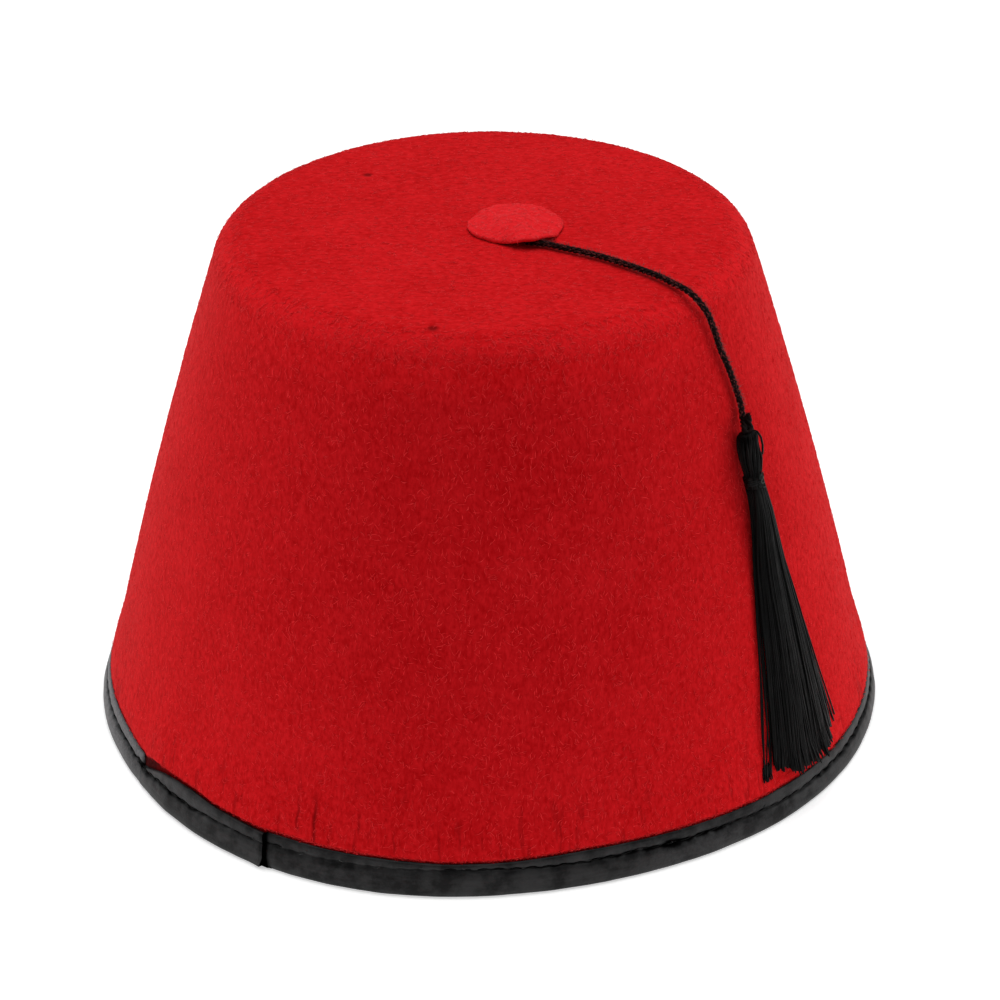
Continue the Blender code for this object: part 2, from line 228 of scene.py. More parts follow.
def bearings_of(points):
    """Bearings of points round the hat's axis."""
    lean = AXIS_LEAN * points[:, 2] / HAT_TOP
    return np.arctan2(points[:, 1] - HAT_AXIS[1], points[:, 0] - HAT_AXIS[0] - lean)


def spokes_of(bearings):
    return np.stack([np.cos(bearings), np.sin(bearings), np.zeros(len(bearings))], axis=-1)


def unit(vectors):
    return vectors / np.maximum(np.linalg.norm(vectors, axis=-1, keepdims=True), 1e-12)


def cast_ray(tree, bearing, level, facing=1):
    """Point and normal of a surface seen from outside, or where facing is -1 from the hat's axis."""
    outward = Vector((math.cos(bearing), math.sin(bearing), 0.0))
    start = axis_point(level) + outward * (RAY_START if facing > 0 else 0.0)
    return tree.ray_cast(start, -outward * facing)[:2]


def hat_surface():
    mesh = frame["nodes"]["felt_shell"].data
    return BVHTree.FromPolygons([v.co for v in mesh.vertices], [p.vertices for p in mesh.polygons])


def surface_of(piece):
    return BVHTree.FromObject(piece, bpy.context.evaluated_depsgraph_get())


def mesh_piece(name, points, faces):
    """New object from arrays of points and of faces with one number of corners."""
    mesh = bpy.data.meshes.new(name)
    mesh.vertices.add(len(points))
    mesh.vertices.foreach_set("co", np.asarray(points, np.float32).ravel())
    mesh.loops.add(faces.size)
    mesh.loops.foreach_set("vertex_index", faces.astype(np.int32).ravel())
    mesh.polygons.add(len(faces))
    mesh.polygons.foreach_set("loop_start", np.arange(0, faces.size, faces.shape[1], dtype=np.int32))
    mesh.update(calc_edges=True)
    mesh.validate()
    mesh.shade_smooth()
    piece = bpy.data.objects.new(name, mesh)
    bpy.context.scene.collection.objects.link(piece)
    return piece


def store_values(piece, name, values):
    """One number for each point, which a material reads as an attribute."""
    layer = piece.data.attributes.new(name, "FLOAT", "POINT")
    layer.data.foreach_set("value", np.asarray(values, np.float32))


def dress(piece, finish, slot, *nodes):
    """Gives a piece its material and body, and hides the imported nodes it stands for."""
    piece.data.materials.append(finish)
    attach(piece, "root")
    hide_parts(*nodes)
    return piece


def tube_rings(paths, normals, radii, sides):
    """Rings of points round many paths at once: paths by stations by sides."""
    tangents = unit(np.gradient(paths, axis=1))
    across = unit(np.cross(tangents, normals))
    upward = np.cross(across, tangents)
    turns = np.arange(sides) * 2 * math.pi / sides
    spokes = (across[:, :, None, :] * np.cos(turns)[None, None, :, None]
              + upward[:, :, None, :] * np.sin(turns)[None, None, :, None])
    return paths[:, :, None, :] + radii[..., None, None] * spokes


def tube_faces(count, stations, sides):
    """Four-sided faces of closed tubes, whose ends are covered too. sides is even."""
    ring = np.arange(sides)
    following = (ring + 1) % sides
    station = (np.arange(stations - 1) * sides)[:, None]
    walls = [station + ring, station + sides + ring, station + sides + following, station + following]
    walls = np.stack(walls, axis=-1).reshape(-1, 4)
    start = np.array([[0, 2 * k - 1, 2 * k, (2 * k + 1) % sides] for k in range(1, sides // 2)])
    end = start[:, ::-1] + (stations - 1) * sides
    one = np.concatenate([walls, start, end])
    return (one[None] + (np.arange(count) * stations * sides)[:, None, None]).reshape(-1, 4)


def make_tubes(name, threads, radii, sides):
    """Closed tubes along many threads, as one piece, each with a random shade of its own.

    threads are arrays of the places and of the normals along them.
    """
    paths, normals = threads
    count, stations = paths.shape[:2]
    rings = tube_rings(paths, normals, radii * np.ones((count, stations)), sides)
    piece = mesh_piece(name, rings.reshape(-1, 3), tube_faces(count, stations, sides))
    shades = np.random.default_rng(len(name)).random(count) ** 2
    store_values(piece, "shade", np.repeat(shades, stations * sides))
    return piece


def as_threads(threads):
    """Arrays of places and of normals from threads, each a list of pairs of a place and its normal."""
    pairs = np.array(threads)
    return pairs[:, :, 0], pairs[:, :, 1]


# Materials


def shaded(colour, share, more=0.0):
    return tuple(min(1.0, c * share + more) for c in colour[:3])


class Look:
    """A material while its nodes are made. Patterns read the object's own coordinates."""

    def __init__(self, name):
        self.material = bpy.data.materials.new(name)
        self.material.use_nodes = True
        self.tree = self.material.node_tree
        self.shader = self.tree.nodes["Principled BSDF"]
        self.places = self.node("TexCoord", {}, "Object")

    def put(self, socket, value):
        """Links a socket to another node's output, or sets it."""
        if isinstance(value, bpy.types.NodeSocket):
            self.tree.links.new(value, socket)
        else:
            socket.default_value = value

    def node(self, kind, inputs, output=0, **settings):
        """Output of a new node with these inputs and settings."""
        node = self.tree.nodes.new("ShaderNode" + kind)
        for key, value in settings.items():
            setattr(node, key, value)
        for key, value in inputs.items():
            self.put(node.inputs[key], value)
        return node.outputs[output]

    def math(self, operation, first, *more):
        """The operation on the first two values, then on its result and each one more."""
        for value in more:
            first = self.node("Math", {0: first, 1: value}, operation=operation)
        return first

    def add(self, *values):
        return self.math("ADD", *values)

    def times(self, *values):
        return self.math("MULTIPLY", *values)

    def most(self, *values):
        return self.math("MAXIMUM", *values)

    def less(self, first, second):
        return self.math("SUBTRACT", first, second)

    def noise(self, scale, detail, roughness, stretch=None):
        """Noise of this scale. stretch scales its axes: under 1 draws the pattern out along one."""
        source = self.places
        if stretch:
            source = self.node("Mapping", {"Vector": source, "Scale": stretch})
        inputs = {"Vector": source, "Scale": scale, "Detail": detail, "Roughness": roughness}
        return self.node("TexNoise", inputs)

    def spread(self, source, low, high, to_low=0.0, to_high=1.0):
        """Maps low to high onto to_low to to_high, and clamps."""
        return self.node("MapRange", {0: source, 1: low, 2: high, 3: to_low, 4: to_high})

    def blend(self, factor, first, second):
        """Mixes two colours, each a node's output or a colour's numbers."""
        first, second = (c if isinstance(c, bpy.types.NodeSocket) else (*c[:3], 1.0) for c in (first, second))
        return self.node("Mix", {0: factor, 6: first, 7: second}, 2, data_type="RGBA")

    def value(self, name):
        """Value of an attribute that store_values wrote."""
        return self.node("Attribute", {}, "Fac", attribute_name=name)

    def near(self, place, reach):
        """1 at a place, falling to 0 at this distance from it."""
        apart = self.node("VectorMath", {0: self.places, 1: place}, "Value", operation="DISTANCE")
        return self.spread(apart, reach * 0.35, reach, 1.0, 0.0)

    def finish(self, inputs, relief=None, strength=0.0, distance=0.0):
        """The material, once its shader has these inputs and this relief."""
        for key, value in inputs.items():
            self.put(self.shader.inputs[key], value)
        if relief:
            bump = self.node("Bump", {"Height": relief, "Strength": strength, "Distance": distance})
            self.put(self.shader.inputs["Normal"], bump)
        return self.material


def felt_material(name, light, deep, marked=False):
    """Matted wool: clumps and strands of two reds. marked adds creases and pits, painted shade and a painted
    highlight.
    """
    look = Look(name)
    x, y, level = look.node("SeparateXYZ", {0: look.places}).node.outputs
    upright = look.noise(1300, 3, 0.6, (1.0, 1.0, 0.36))
    level_grain = look.noise(1100, 3, 0.6, (0.40, 1.0, 1.0))
    on_crown = look.spread(level, HAT_TOP - 0.005, HAT_TOP - 0.001)
    strands = look.add(look.times(level_grain, on_crown), look.times(upright, look.less(1.0, on_crown)))
    clumps = look.noise(760, 3, 0.6)
    clouds = look.noise(70, 2, 0.5)
    relief = look.add(look.times(strands, 0.45), look.times(clumps, 0.40), look.times(clouds, 0.15))
    shade = look.spread(relief, 0.39, 0.61)
    if marked:
        # Painted highlight in a band just under the crown's edge.
        edge_highlight = look.times(look.spread(level, HAT_TOP - 0.0060, HAT_TOP - 0.0030),
                               look.spread(level, HAT_TOP - 0.0016, HAT_TOP - 0.0004, 0.35, 0.0))
        shade = look.add(shade, edge_highlight)
    colour = look.blend(shade, deep, light)
    if marked:
        colour, marks = mark_and_shade_felt(look, (x, y, level), colour, deep)
        relief = look.less(relief, look.times(marks, 0.5))
    return look.finish({
        "Base Color": colour, "Roughness": 0.95, "Specular IOR Level": 0.04, "Sheen Weight": 0.25,
        "Sheen Roughness": 0.45, "Sheen Tint": (1.0, 0.12, 0.12, 1.0),
    }, relief, 0.6, 0.0007)


def mark_and_shade_felt(look, place, colour, deep):
    """Painted shade in the creases over the rim, in the pits and on the upper front, and a painted shadow by
    the tape's notch. Gives colour and depth.
    """
    x, y, level = place
    bearing = look.math("ARCTAN2", look.less(y, HAT_AXIS[1]), look.less(x, HAT_AXIS[0]))
    wander = look.times(look.noise(300, 2, 0.5), math.radians(0.9))
    bearing = look.add(bearing, look.less(wander, math.radians(0.45)))
    marks = []
    for middle, half_width, low, high, depth in CREASES:
        beside = look.math("ABSOLUTE", look.less(bearing, math.radians(middle)), 0.0)
        line = look.spread(beside, 0.0, math.radians(half_width), depth, 0.0)
        above = look.spread(level, low - 0.001, low + 0.001)
        below = look.spread(level, high - 0.003, high + 0.003, 1.0, 0.0)
        marks.append(look.times(line, look.times(above, below)))
    faint = look.noise(420, 2, 0.5, (1.0, 1.0, 0.07))
    near_rim = look.spread(level, 0.014, 0.034, 1.0, 0.0)
    marks.append(look.times(look.spread(faint, 0.32, 0.40, 0.45, 0.0), near_rim))
    marks += [look.near(place, reach) for place, reach in PITS]
    marks = look.most(*marks)
    # Painted shade on the upper front, under the crown's edge.
    below_edge = look.spread(level, HAT_TOP - 0.015, HAT_TOP - 0.007, FRONT_SHADE_STRENGTH, 0.0)
    front_shade = look.times(look.near(FRONT_SHADE_PLACE, FRONT_SHADE_REACH), below_edge)
    colour = look.blend(front_shade, colour, (deep[0] * 0.45, deep[1] * 0.8, deep[2] * 1.3))
    # Painted shade in the creases, the faint lines near the rim and the pits.
    colour = look.blend(marks, colour, shaded(deep, 0.45))
    # Painted shadow on the felt by the tape's notch.
    notch_shadow = look.value("notch_shadow")
    colour = look.blend(notch_shadow, colour, shaded(deep, 0.06, 0.002))
    return colour, look.most(marks, notch_shadow)


def fibre_material(name, light, deep):
    """Single wool fibres, each with its own shade."""
    look = Look(name)
    varied = look.add(look.times(look.value("shade"), 0.7), look.times(look.noise(900, 2, 0.5), 0.3))
    return look.finish({
        "Base Color": look.blend(varied, deep, light), "Roughness": 0.9, "Specular IOR Level": 0.04,
        "Sheen Weight": 0.25, "Sheen Tint": (1.0, 0.20, 0.20, 1.0),
    })


def tape_material(name, colour):
    """Black coated tape: a soft shine, fine grain along it, small scuffs, uncoated parts lightened with
    painted highlights, and a sunk seam painted in shade.
    """
    look = Look(name)
    grain = look.noise(110, 5, 0.6, (1.0, 1.0, 9.0))
    pores = look.noise(1700, 3, 0.6)
    scuffs = look.noise(160, 4, 0.65)
    # The seam value is painted shade in the sunk seam, the pucker, the gap and the notch.
    seam = look.value("seam")
    worn = shaded(colour, 2.9, 0.004)
    varied = look.add(look.times(grain, 0.4), look.times(scuffs, 0.6))
    coated = look.blend(look.spread(varied, 0.42, 0.66), colour, worn)
    woven = look.blend(look.spread(pores, 0.24, 0.80), worn, shaded(colour, 36.0, 0.004))
    # Light look of uncoated fabric, with painted highlights and reflections on the puffs.
    mottled = look.blend(look.value("bare_and_highlight"), coated, woven)
    shine = look.spread(scuffs, 0.40, 0.60, 0.10, 0.25)
    return look.finish({
        "Base Color": look.blend(seam, mottled, shaded(colour, 0.12)),
        "Roughness": look.most(look.spread(scuffs, 0.35, 0.7, 0.34, 0.58), seam),
        "Specular IOR Level": look.times(look.spread(seam, 0.0, 0.8, 1.0, 0.0), shine),
    }, look.add(look.times(pores, 0.35), look.times(grain, 0.65)), 0.35, 0.0004)


def thread_material(name, colour, roughness, gloss=0.06, lighter=2.2):
    """Thread, each strand with its own shade up to lighter times its colour, partly random tone and partly
    painted highlight, with painted highlight streaks in patches.
    """
    look = Look(name)
    fibres = look.noise(2600, 3, 0.6, (1.0, 1.0, 0.15))
    # Painted highlight streaks in patches along the threads.
    glint_bands = look.spread(look.noise(150, 3, 0.6), 0.40, 0.62, 0.15, 1.6)
    varied = look.spread(look.times(look.value("shade"), fibres, glint_bands), 0.05, 0.6)
    return look.finish({
        "Base Color": look.blend(varied, colour, shaded(colour, lighter)),
        "Roughness": roughness, "Specular IOR Level": gloss,
    }, fibres, 0.3, 0.0001)


# Felt


class FezFeltSettings(bpy.types.PropertyGroup):
    """Sizes and colours of the felt."""
    light: colour_setting("Light red", "Colour of the felt's raised wool", (0.67, 0.0086, 0.0124))
    deep: colour_setting("Deep red", "Colour between the felt's clumps", (0.465, 0.0012, 0.0026))
    fibre: colour_setting("Fibre", "Colour of the palest loose fibres", (0.88, 0.036, 0.042))
    lump_size: length_setting("Lump size", "Size of the felt's soft lumps", 0.020)
    lump_depth: length_setting("Lump depth", "How far the lumps stand in and out", 0.00025)
    fibre_count: count_setting("Fibres", "Fibres in each of the nap's three layers", 12000)
    fibre_length: length_setting("Fibre length", "Length of most fibres", 0.0013)
    fibre_thickness: length_setting("Fibre thickness", "Thickness of a fibre", 0.00013)
    fibre_lift: length_setting("Fibre lift", "How far most fibres stand off", 0.00003)
    edge_fibres: count_setting("Edge fibres", "Fibres that stand off along the crown's edge", 4000)
    border_fibres: count_setting("Border fibres", "Fibres that lie over the tape's upper edge", 5000)


# Creases over the rim, painted in shade: bearing and half width in degrees, lowest and highest level, depth
# from 0 to 1
CREASES = [
    (-120.6, 0.42, 0.0125, 0.0210, 0.75),
    (-117.8, 0.50, 0.0100, 0.0215, 1.00),
    (-111.2, 0.36, 0.0100, 0.0135, 0.80),
    (-110.6, 0.34, 0.0155, 0.0200, 0.70),
    (-105.0, 0.30, 0.0110, 0.0170, 0.55),
    (-98.0, 0.30, 0.0105, 0.0180, 0.50),
    (-88.5, 0.30, 0.0105, 0.0160, 0.45),
    (-79.0, 0.30, 0.0105, 0.0190, 0.50),
]

# Painted shade on the felt's upper front, under the crown's edge: its middle, reach and strength
FRONT_SHADE_PLACE = (0.0, -0.083, 0.088)
FRONT_SHADE_REACH = 0.11
FRONT_SHADE_STRENGTH = 0.25

# Pits in the felt of the crown, painted in shade: place and reach
PITS = [((-0.0119, -0.0550, 0.1363), 0.0018), ((-0.0300, 0.0330, 0.1363), 0.0016)]

# Felt over the tape: how far it swells out, there and over the lap, the heights over the tape where it
# is full and gone, and the heights where loops are cut for it
SWELL = 0.0008
LAP_SWELL = 0.0009
SWELL_FULL = 0.0014
SWELL_GONE = 0.0180
SWELL_CUTS = (-0.0022, -0.0013, -0.0004, 0.0005, 0.0016, 0.0035, 0.0070, 0.0120)

# Degrees over which the swelling over the lap comes and goes
LAP_RISE = 5.0
LAP_FALL = 3.0

# Painted shadow on the felt by the tape's notch: degrees that it starts before the lap, how fast it
# ends, where it starts to fade over the tape's edge, and over what height
NOTCH_SHADOW_BEFORE = 1.5
NOTCH_SHADOW_END = 1.3
NOTCH_SHADOW_EDGE = 0.0002
NOTCH_SHADOW_FADE = 0.0012

# Height of the band of fibres along the crown's edge, and heights over the tape of those at the border
EDGE_BAND = (0.0065, 0.0002)
BORDER_CUT = 0.0026
BORDER_BAND = (-0.0002, 0.0010)


def outer_spots(piece, low, high, count, rng):
    """Random points on a piece's outer faces between two levels, with the surface's normals."""
    mesh = piece.data
    mesh.calc_loop_triangles()
    corners = np.empty(len(mesh.loop_triangles) * 3, np.int32)
    mesh.loop_triangles.foreach_get("vertices", corners)
    corners = corners.reshape(-1, 3)
    points = get_points(piece)
    a, b, c = (points[corners[:, k]] for k in range(3))
    across = np.cross(b - a, c - a)
    middles = (a + b + c) / 3
    outward = np.einsum("ij,ij->i", across, middles - np.array(HAT_HEART)) > 0
    between = (middles[:, 2] > low) & (middles[:, 2] < high)
    area = np.linalg.norm(across, axis=1) * (outward & between)
    chosen = corners[rng.choice(len(corners), size=count, p=area / area.sum())]
    first, second = rng.random((2, count))
    beyond = first + second > 1
    first[beyond] = 1 - first[beyond]
    second[beyond] = 1 - second[beyond]
    weights = (1 - first - second, first, second)
    spots, normals = (
        sum(w[:, None] * values[chosen[:, k]] for k, w in enumerate(weights))
        for values in (points, get_points(piece, "normal"))
    )
    return spots, unit(normals)


def make_fibres(name, spots, outward, length, thickness, lift, wander, rng):
    """Small curled fibres that lie on the felt, most of them along its grain.

    Each is a thin three-sided spindle through four points, pointed at both ends.
    """
    count = len(spots)
    on_crown = np.abs(outward[:, 2]) > 0.7
    grain = np.where(on_crown[:, None], np.array([1.0, 0.0, 0.0]), np.array([0.0, 0.0, 1.0]))
    grain = unit(grain - outward * np.einsum("ij,ij->i", grain, outward)[:, None])
    turn = rng.normal(0.0, wander, count)
    run = grain * np.cos(turn)[:, None] + np.cross(outward, grain) * np.sin(turn)[:, None]
    bend = np.cross(outward, run)
    lengths = length * (0.45 + rng.gamma(3.0, 0.22, count))
    curl = rng.normal(0.0, 0.28, count)
    rise = lift * rng.gamma(1.2, 0.6, count)
    tip_rise = lift * rng.gamma(0.5, 0.7, count)
    stations = np.array([-0.5, -0.17, 0.17, 0.5])
    sweep = lengths[:, None] * curl[:, None] * (0.25 - stations ** 2) * 2.0
    above = rise[:, None] * np.array([0.0, 1.0, 1.0, 0.0])
    above = above + tip_rise[:, None] * np.array([0.0, 0.1, 0.4, 1.0])
    paths = spots[:, None, :] + run[:, None, :] * (lengths[:, None] * stations)[:, :, None]
    paths = paths + bend[:, None, :] * sweep[:, :, None]
    paths = paths + outward[:, None, :] * above[:, :, None]
    radii = thickness / 2 * (0.7 + 0.6 * rng.random((count, 1))) * np.ones((1, 4))
    rings = tube_rings(paths, np.repeat(outward[:, None, :], 4, axis=1), radii, 3)
    points = np.concatenate([paths[:, :1], rings[:, 1], rings[:, 2], paths[:, 3:4]], axis=1)
    faces = []
    for k in range(3):
        n = (k + 1) % 3
        faces += [(0, 1 + k, 1 + n), (1 + k, 4 + k, 4 + n), (1 + k, 4 + n, 1 + n), (4 + k, 7, 4 + n)]
    faces = (np.array(faces)[None] + (np.arange(count) * 8)[:, None, None]).reshape(-1, 3)
    piece = mesh_piece(name, points.reshape(-1, 3), faces)
    store_values(piece, "shade", np.repeat(rng.random(count), 8))
    return piece


def cut_levels(piece, levels):
    """Cuts a loop round a piece at each level."""
    pick(piece)
    bpy.ops.object.mode_set(mode="EDIT")
    for level in levels:
        bpy.ops.mesh.select_all(action="SELECT")
        bpy.ops.mesh.bisect(plane_co=(0, 0, level), plane_no=(0, 0, 1))
    bpy.ops.object.mode_set(mode="OBJECT")


def swell_over_tape(felt):
    """Swells the felt's outside out just over the tape, which the seam pulls in."""
    points = get_points(felt)
    bearings = bearings_of(points)
    degrees = np.degrees(bearings)
    spokes = spokes_of(bearings)
    outside = np.einsum("ij,ij->i", get_points(felt, "normal"), spokes) > 0.3
    share = np.interp(points[:, 2] - tape_top(bearings), [0.0, SWELL_FULL, SWELL_GONE], [0.0, 1.0, 0.0])
    share = share * share * (3 - 2 * share)
    lap = np.clip((degrees - LAP_START[1]) / LAP_RISE, 0, 1)
    lap = lap * np.clip((LAP_STEP[0] + LAP_FALL - degrees) / LAP_FALL, 0, 1)
    set_points(felt, points + spokes * ((SWELL + LAP_SWELL * lap) * share * outside)[:, None])


def notch_shadow_at(points):
    """How strong the painted shadow on the felt is at these points, by the tape's notch."""
    bearings = bearings_of(points)
    degrees = np.degrees(bearings)
    before = np.clip(degrees - LAP_START[0] + NOTCH_SHADOW_BEFORE, 0, 1)
    after = np.clip((LAP_START[1] + NOTCH_REACH - degrees) / NOTCH_REACH * NOTCH_SHADOW_END, 0, 1)
    over = points[:, 2] - tape_top(bearings)
    return np.clip(1 - (over - NOTCH_SHADOW_EDGE) / NOTCH_SHADOW_FADE, 0, 1) * before * after


class FEZ_OT_felt_shell(bpy.types.Operator):
    """Felt body with the nap of fibres on its outside"""
    bl_idname = "fez.felt_shell"
    bl_label = "Felt shell"

    def execute(self, context):
        sizes = context.scene.fez_felt
        felt = cad_copy("felt_shell", "felt")
        cut_levels(felt, [BINDING_TOP + over for over in SWELL_CUTS])
        smooth_faces(felt, 2)
        swell_over_tape(felt)
        # Painted shadow by the tape's notch, as a value for the material.
        store_values(felt, "notch_shadow", notch_shadow_at(get_points(felt)))
        add_lumps(felt, "felt_lumps", sizes.lump_size, sizes.lump_depth)
        finish = felt_material("red_felt_wool", sizes.light, sizes.deep, marked=True)
        dress(felt, finish, "red_felt", "felt_shell")
        fuzz = fibre_material("red_felt_fibre", sizes.fibre, sizes.light)

        def lay(name, spots, outward, length, lift, wander, rng):
            nap = make_fibres(name, spots, outward, sizes.fibre_length * length, sizes.fibre_thickness,
                              sizes.fibre_lift * lift, wander, rng)
            dress(nap, fuzz, "red_felt")

        for number in (1, 2, 3):
            rng = np.random.default_rng(number)
            spots = outer_spots(felt, BINDING_TOP, math.inf, sizes.fibre_count, rng)
            lay(f"felt_nap_{number}", *spots, 1, 1, 0.9, rng)
        rng = np.random.default_rng(4)
        low, high = (HAT_TOP - under for under in EDGE_BAND)
        lay("crown_edge_fuzz", *outer_spots(felt, low, high, sizes.edge_fibres, rng), 0.9, 3, 1.4, rng)
        spots, outward = outer_spots(
            felt, BINDING_TOP - BORDER_CUT, BINDING_TOP + BORDER_CUT, sizes.border_fibres * 4, rng)
        over = spots[:, 2] - tape_top(bearings_of(spots))
        near = (over > BORDER_BAND[0]) & (over < BORDER_BAND[1]) & (notch_shadow_at(spots) < 0.3)
        lay("felt_border_fuzz", spots[near], outward[near], 0.75, 6, 0.7, rng)
        return {"FINISHED"}


# Edge binding


class FezBindingSettings(bpy.types.PropertyGroup):
    """Sizes and colours of the edge binding and its stitches."""
    tape: colour_setting("Tape", "Colour of the tape", (0.0045, 0.0045, 0.0047))
    thread: colour_setting("Stitch thread", "Colour of the stitches", (0.004, 0.004, 0.004))
    stitch_height: length_setting("Stitch height", "Height of the seam over the rim", 0.0064)
    stitch_pitch: length_setting("Stitch pitch", "From one stitch to the next", 0.0040)
    stitch_length: length_setting("Stitch length", "Length of a stitch that shows", 0.0031)
    stitch_thickness: length_setting("Stitch thickness", "Thickness of the thread", 0.00036)
    seam_depth: length_setting("Seam depth", "How far the seam is sunk in the tape", 0.00050)
    seam_width: length_setting("Seam width", "Half the width of the sunk seam", 0.00044)
    pull: length_setting("Pull", "How far a stitch pulls the tape in", 0.00015)
    wrinkle: length_setting("Wrinkle", "Depth of the tape's soft wrinkles", 0.00026)


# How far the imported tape's top edge drops at its lap, as a share of its height, as in the part
LAP = table(
    "bearing drop",
    (-155.0, 0.00), (-154.5, 0.13), (-146.0, 0.09), (-137.0, 0.02), (-126.6, 0.00),
)

# How far the seam and the tape's top edge lie over or under the imported tape's, and how wide and how
# dark the painted shade along the seam's line is, at bearings in degrees
TAPE = table(
    "bearing seam top wide dark",
    (-180.0, 0.0000, -0.0001, 1.0, 0.9),
    (-163.0, -0.0004, -0.0006, 1.1, 1.0),
    (-155.3, -0.0009, -0.0018, 1.2, 1.0),
    (-152.6, -0.0002, 0.0000, 1.1, 0.9),
    (-148.0, 0.0008, 0.0013, 0.9, 1.0),
    (-141.0, 0.0006, 0.0015, 0.9, 1.0),
    (-136.5, 0.0009, 0.0004, 0.7, 0.8),
    (-132.0, 0.0009, 0.0000, 0.5, 0.4),
    (-127.0, 0.0007, -0.0006, 0.6, 0.6),
    (-121.0, 0.0008, -0.0005, 0.4, 0.2),
    (-108.0, 0.0012, -0.0007, 0.4, 0.1),
    (-98.0, 0.0015, -0.0012, 0.4, 0.3),
    (-90.0, 0.0014, -0.0012, 0.6, 0.8),
    (-83.0, 0.0009, -0.0009, 0.6, 0.9),
    (-75.0, 0.0006, -0.0004, 0.7, 0.9),
    (-66.0, 0.0006, -0.0006, 1.4, 1.0),
    (-60.0, 0.0001, -0.0008, 1.6, 1.0),
    (-52.0, 0.0000, -0.0010, 1.5, 1.0),
    (-46.0, -0.0003, -0.0013, 0.9, 0.7),
    (-38.0, -0.0010, -0.0014, 0.7, 0.8),
    (-25.0, -0.0014, -0.0022, 1.0, 0.9),
    (-10.0, -0.0010, -0.0019, 1.0, 0.9),
    (20.0, -0.0004, -0.0008, 0.8, 0.8),
    (60.0, 0.0000, 0.0000, 0.8, 0.8),
    (180.0, 0.0000, -0.0001, 1.0, 0.9),
)
LAP_STEP = (-126.6, -126.2)
LAP_START = (-155.0, -154.5)

# How far the tape's end lies round from the part's own at its top, how far more at its foot, how far
# the gap beside it closes and how far round this reaches, in degrees
STEP_SHIFT = 0.7
STEP_LEAN = 0.8
GAP_CLOSE = 0.13
STEP_REACH = 1.6

# Corner of the tape's end at its foot: how far it is cut back, in degrees, how high that reaches, how
# far it stands off, and over how many degrees
CORNER_CUT = 1.3
CORNER_HEIGHT = 0.0042
CORNER_CURL = 0.0003
CURL_REACH = 1.8

# At the lap's start the strip over the seam is cut down to this share and widens again, in degrees.
# The cut slants, and comes this far round at the seam
NOTCH_KEEP = 0.14
NOTCH_REACH = 10.0
NOTCH_SLANT = -1.3

# Gathered tape at the seam: its middle, in degrees, its reach round the rim and up it, and depth
PUCKER = {"bearing": -60.2, "reach": 1.5, "height": 0.0011, "depth": 0.00055}

# Uncoated look of the tape and painted highlight, 1 as light as the strip left of the lap: painted highlight
# on the puff under the gathered seam, the strip in front, painted reflection on the puff at the left, and its
# fade in degrees
PUCKER_PUFF_HIGHLIGHT = 0.12
BARE_FRONT = 0.05
LEFT_PUFF_HIGHLIGHT = 0.72
LEFT_PUFF_FADE = 13.0

# Bearings behind, in degrees, between which the tape's uncoated look and painted reflection grow towards the
# left
BARE_BACK = (115.0, 175.0)

# Points of the tape farther from the felt than this lie on its two seen faces
FACE_DISTANCE = 0.0007

# Stitches show where the seam's line is darker than this, and farther than this from the tape's end
STITCH_DARK = 0.35
STITCH_CLEAR = 1.3

# Ends of thread and needle marks along the seam: bearing, height over the seam, length and tilt
THREAD_ENDS = [
    (-118.7, 0.0007, 0.0009, 70), (-119.4, -0.0002, 0.0011, 20), (-113.0, 0.0002, 0.0012, -15),
    (-107.2, -0.0001, 0.0008, 30), (-100.7, 0.0005, 0.0012, 10), (-94.2, 0.0003, 0.0010, -20),
    (-85.0, 0.0001, 0.0009, 15), (-74.5, 0.0003, 0.0011, 35), (-42.6, 0.0008, 0.0011, 60),
    (-127.4, 0.0003, 0.0012, -40),
]


def lap_drop(bearing):
    """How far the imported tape's top edge drops at a bearing."""
    return look_up(LAP, "drop", np.degrees(bearing)) * BINDING_TOP


def seam_height(bearing, height):
    """Height of the seam at a bearing, which drops with the tape at its lap and wanders by hand."""
    return height - lap_drop(bearing) / 2 + look_up(TAPE, "seam", np.degrees(bearing))


def tape_top(bearing):
    """Level of the tape's top edge at a bearing."""
    return BINDING_TOP - lap_drop(bearing) + look_up(TAPE, "top", np.degrees(bearing))


def settle_heights(binding, height):
    """Moves the tape's seam and top edge up and down round the rim, as a hand lays them."""
    points = get_points(binding)
    bearings = bearings_of(points)
    own_seam = height - lap_drop(bearings) / 2
    own_top = BINDING_TOP - lap_drop(bearings)
    seam = seam_height(bearings, height)
    over = np.clip((points[:, 2] - own_seam) / (own_top - own_seam), 0, None)
    under = np.clip(points[:, 2] / own_seam, None, 1)
    points[:, 2] = under * seam + over * (tape_top(bearings) - seam)
    set_points(binding, points)


def crease_loops(piece, bearings):
    """Keeps the cross-sections at these bearings, in degrees, sharp when a piece is subdivided."""
    own = np.degrees(bearings_of(get_points(piece)))
    creases = piece.data.attributes.new("crease_edge", "FLOAT", "EDGE")
    for edge, crease in zip(piece.data.edges, creases.data):
        on_loop = any(all(abs(own[v] - b) < 0.12 for v in edge.vertices) for b in bearings)
        crease.value = 1.0 if on_loop else 0.0


def on_the_faces(binding):
    """1 for the points of the tape's two seen faces, and 0 for those against the felt."""
    tree = hat_surface()
    distances = [tree.find_nearest(Vector(point))[3] for point in get_points(binding)]
    return (np.array(distances) > FACE_DISTANCE).astype(float)


def turned(points, degrees):
    """Points turned round the hat's axis, each by its own number of degrees."""
    turn = np.radians(degrees)
    lean = HAT_AXIS[0] + AXIS_LEAN * points[:, 2] / HAT_TOP
    centre = np.stack([lean, np.full(len(points), HAT_AXIS[1])], axis=-1)
    x, y = (points[:, :2] - centre).T
    moved = np.stack([x * np.cos(turn) - y * np.sin(turn), x * np.sin(turn) + y * np.cos(turn)], axis=-1)
    return np.concatenate([moved + centre, points[:, 2:]], axis=1)


